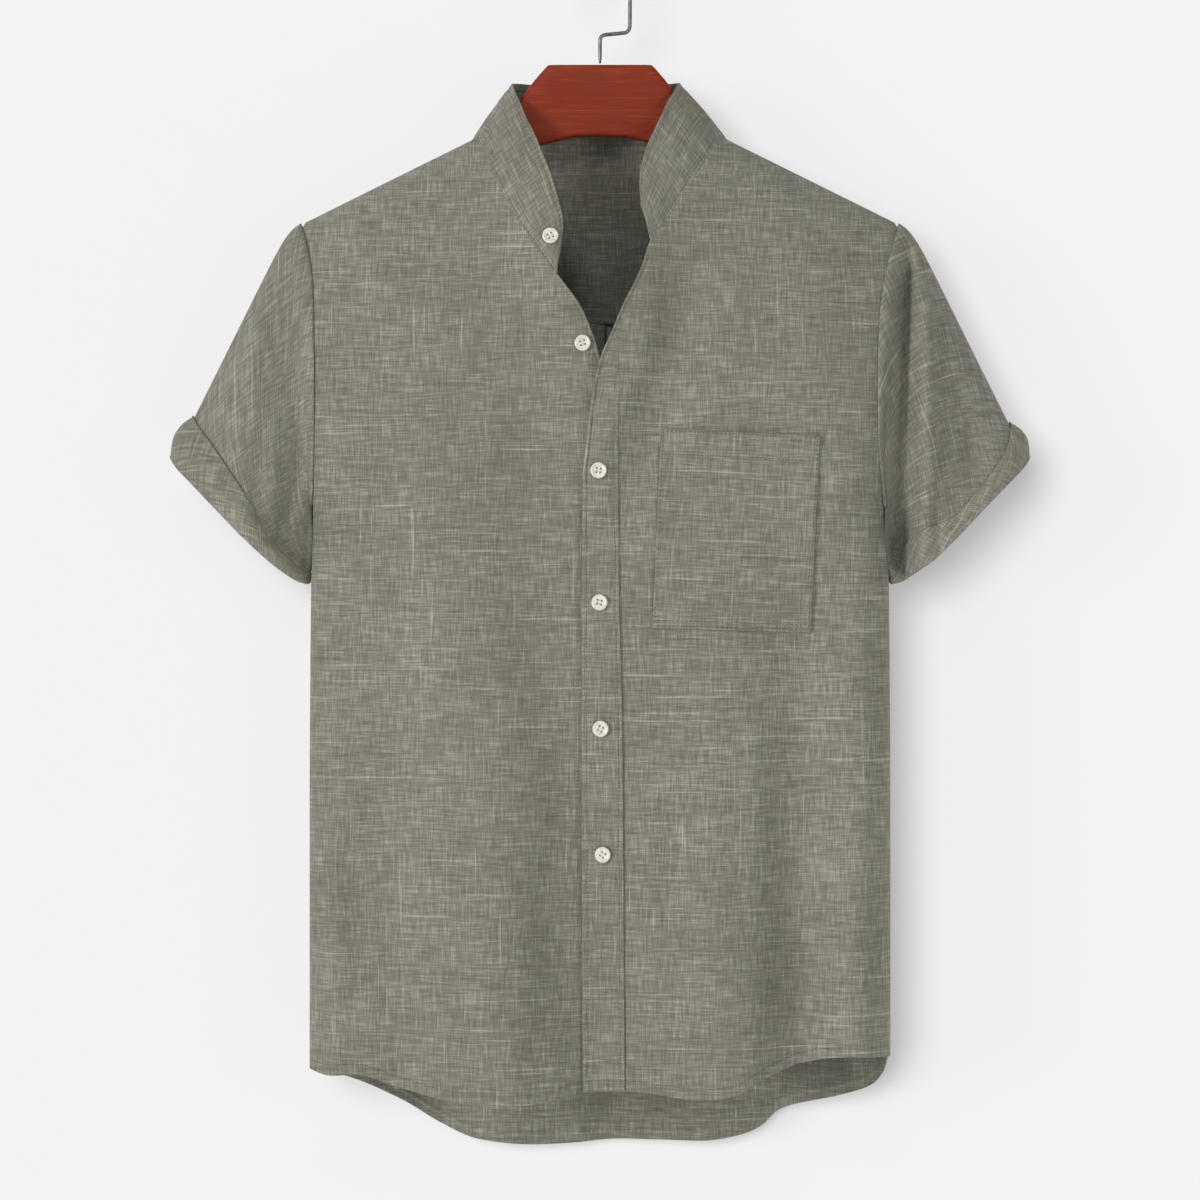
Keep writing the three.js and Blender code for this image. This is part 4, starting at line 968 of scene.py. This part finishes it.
# beech stained mahogany red and varnished: long dark grain along the bar under a soft gloss
def woodMaterial():
    material, tree, shader = newMaterial("stained_beech")
    place = addNode(tree, "ShaderNodeTexCoord").outputs["Object"]
    stretched = addNode(tree, "ShaderNodeMapping", {"Vector": place, "Scale": (6, 30, 60), "Rotation": (0, 0.12, 0)})
    grain = addNode(tree, "ShaderNodeTexNoise", {"Vector": stretched.outputs[0], "Scale": 1.0, "Detail": 6.0, "Roughness": 0.6, "Distortion": 0.9})
    fineMap = addNode(tree, "ShaderNodeMapping", {"Vector": place, "Scale": (30, 400, 900)})
    fine = addNode(tree, "ShaderNodeTexNoise", {"Vector": fineMap.outputs[0], "Scale": 1.0, "Detail": 3.0})
    both = addNode(tree, "ShaderNodeMath", {0: grain.outputs["Fac"], 1: fine.outputs["Fac"]}, operation="MULTIPLY_ADD")
    both.inputs[1].default_value = 0.8
    weighted = addNode(tree, "ShaderNodeMath", {0: fine.outputs["Fac"], 1: 0.22}, operation="MULTIPLY")
    tree.links.new(weighted.outputs[0], both.inputs[2])
    tree.links.new(grain.outputs["Fac"], both.inputs[0])
    ramp = addNode(tree, "ShaderNodeValToRGB", {"Fac": both.outputs[0]})
    ramp.color_ramp.elements[0].position = 0.34
    ramp.color_ramp.elements[0].color = linear("822a10")
    ramp.color_ramp.elements[1].position = 0.68
    ramp.color_ramp.elements[1].color = linear("b5562c")
    ramp.color_ramp.elements.new(0.5).color = linear("9c3c1a")
    tree.links.new(ramp.outputs[0], shader.inputs["Base Color"])
    shader.inputs["Roughness"].default_value = 0.55
    shader.inputs["Specular IOR Level"].default_value = 0.22
    shader.inputs["Coat Weight"].default_value = 0.05
    shader.inputs["Coat Roughness"].default_value = 0.3
    return material


# drawn steel wire, zinc plated and dulled: dark grey with fine lengthways marks
def steelMaterial():
    material, tree, shader = newMaterial("plated_steel_wire")
    place = addNode(tree, "ShaderNodeTexCoord").outputs["Object"]
    noise = addNode(tree, "ShaderNodeTexNoise", {"Vector": place, "Scale": 260.0, "Detail": 4.0})
    ramp = addNode(tree, "ShaderNodeValToRGB", {"Fac": noise.outputs["Fac"]})
    ramp.color_ramp.elements[0].color = linear("4a4b4d")
    ramp.color_ramp.elements[1].color = linear("8c8d90")
    tree.links.new(ramp.outputs[0], shader.inputs["Base Color"])
    shader.inputs["Metallic"].default_value = 0.9
    shader.inputs["Roughness"].default_value = 0.38
    return material


linen = linenMaterial()
for piece in [frontRight, frontLeft, backPanel, yoke, collarBand, placket, chestPocket, *sleeves.values(), *bands.values()]:
    piece.data.materials.append(linen)
# seam and hem thread, darker than the cloth: painted shade, the dark line of a seam's crease and gap laid onto the real
# stitches
seamThreadWithPaintedShade = threadMaterial("sewing_thread_painted_shade", "5f5d50")
stitchThread.data.materials.append(seamThreadWithPaintedShade)
hemThread.data.materials.append(seamThreadWithPaintedShade)
resin = buttonMaterial()
pale = threadMaterial("button_thread", "c9c6b6")
for piece in buttons:
    piece.data.materials.clear()
    piece.data.materials.append(resin)
for piece in threads:
    piece.data.materials.append(pale)
hangerWood.data.materials.clear()
hangerWood.data.materials.append(woodMaterial())
hangerHook.data.materials.clear()
hangerHook.data.materials.append(steelMaterial())
print("materials made")

# the cut of each piece of cloth: the rectangle it was cut from and its own area, in metres
cuts = [
    (frontRight, (0.30, 0.72), ["hanger_beech"]),
    (frontLeft, (0.30, 0.72), ["hanger_beech"]),
    (backPanel, (0.58, 0.64), ["shirt_yoke"]),
    (yoke, (0.50, 0.20), ["hanger_beech"]),
    (sleeves["right"], (0.40, 0.24), ["shirt_front_right"]),
    (sleeves["left"], (0.40, 0.24), ["shirt_front_left"]),
    (bands["right"], (0.30, 0.045), ["sleeve_cloth_right"]),
    (bands["left"], (0.30, 0.045), ["sleeve_cloth_left"]),
    (collarBand, (0.44, 0.055), ["shirt_yoke"]),
    (placket, (0.036, 0.57), ["shirt_front_left"]),
    (chestPocket, (0.125, 0.155), ["shirt_front_left"]),
]
for piece, (width, length), on in cuts:
    print(piece.name, "area", round(piece["area"], 4), "share of its rectangle", round(piece["area"] / width / length, 2))

# stage, light and camera
stage = {"wallBehind": 0.075, "floorBelow": -1.45, "paper": "5a5a5a", "wallGlow": 0.455, "floorGlow": 0.75}


# matt studio paper that shines a little, clear from behind so that the back of the shirt can be looked at
def paperMaterial(name, glow):
    material, tree, shader = newMaterial(name)
    shader.inputs["Base Color"].default_value = linear(stage["paper"])
    shader.inputs["Roughness"].default_value = 1.0
    shader.inputs["Specular IOR Level"].default_value = 0.0
    shader.inputs["Emission Color"].default_value = linear("f2f2f2")
    shader.inputs["Emission Strength"].default_value = glow
    clear = addNode(tree, "ShaderNodeBsdfTransparent")
    behind = addNode(tree, "ShaderNodeNewGeometry").outputs["Backfacing"]
    seen = addNode(tree, "ShaderNodeMixShader", {0: behind, 1: shader.outputs[0], 2: clear.outputs[0]})
    tree.links.new(seen.outputs[0], tree.nodes["Material Output"].inputs["Surface"])
    return material


bm = bmesh.new()
bmesh.ops.create_grid(bm, x_segments=1, y_segments=1, size=6, matrix=Matrix.Translation((0, stage["wallBehind"], 0)) @ Matrix.Rotation(math.pi / 2, 4, "X"))
wallMesh = bpy.data.meshes.new("backdrop")
bm.to_mesh(wallMesh)
bm.free()
backdrop = bpy.data.objects.new("backdrop", wallMesh)
backdrop.data.materials.append(paperMaterial("wall_paper", stage["wallGlow"]))
bpy.context.scene.collection.objects.link(backdrop)
bm = bmesh.new()
bmesh.ops.create_grid(bm, x_segments=1, y_segments=1, size=6, matrix=Matrix.Translation((0, 0, stage["floorBelow"])))
floorMesh = bpy.data.meshes.new("floor")
bm.to_mesh(floorMesh)
bm.free()
floor = bpy.data.objects.new("floor", floorMesh)
floor.data.materials.append(paperMaterial("floor_paper", stage["floorGlow"]))
bpy.context.scene.collection.objects.link(floor)

world = bpy.data.worlds.new("studio")
world.use_nodes = True
world.node_tree.nodes["Background"].inputs["Color"].default_value = (1, 1, 1, 1)
world.node_tree.nodes["Background"].inputs["Strength"].default_value = 0.15
bpy.context.scene.world = world


def addLight(name, place, aim, size, power):
    light = bpy.data.lights.new(name, "AREA")
    light.shape, light.size, light.energy = "DISK", size, power
    lamp = bpy.data.objects.new(name, light)
    lamp.location = place
    lamp.rotation_euler = (Vector(aim) - Vector(place)).to_track_quat("-Z", "Y").to_euler()
    bpy.context.scene.collection.objects.link(lamp)


addLight("fill", (2.2, -3.3, -0.45), (0, 0, -0.5), 1.2, 31)
addLight("front", (-0.35, -2.4, 1.0), (0, 0, -0.2), 0.7, 14)
sun = bpy.data.lights.new("key", "SUN")
sun.energy, sun.angle = 1.55, 0.3
sunLamp = bpy.data.objects.new("key", sun)
sunLamp.rotation_euler = Vector((3.8, 3.0, -0.35)).to_track_quat("-Z", "Y").to_euler()
bpy.context.scene.collection.objects.link(sunLamp)

# a lamp for the wall alone: it throws the shirt's soft shadow down to the right
wallOnly = bpy.data.collections.new("wall_only")
wallOnly.objects.link(backdrop)
wallSun = bpy.data.lights.new("wall_key", "SUN")
wallSun.energy, wallSun.angle = 12.5, 0.44
wallLamp = bpy.data.objects.new("wall_key", wallSun)
wallLamp.rotation_euler = Vector((0.25, 1, -0.14)).to_track_quat("-Z", "Y").to_euler()
wallLamp.light_linking.receiver_collection = wallOnly
bpy.context.scene.collection.objects.link(wallLamp)

camera = bpy.data.cameras.new("camera")
camera.sensor_width = 36
camera.lens = 36 * 3.3 / 0.888
cameraObject = bpy.data.objects.new("camera", camera)
cameraObject.location = (0, -3.3, -0.481)
cameraObject.rotation_euler = (math.pi / 2, 0, 0)
bpy.context.scene.collection.objects.link(cameraObject)
bpy.context.scene.camera = cameraObject
bpy.context.scene.view_settings.view_transform = "Standard"

bpy.context.view_layer.update()
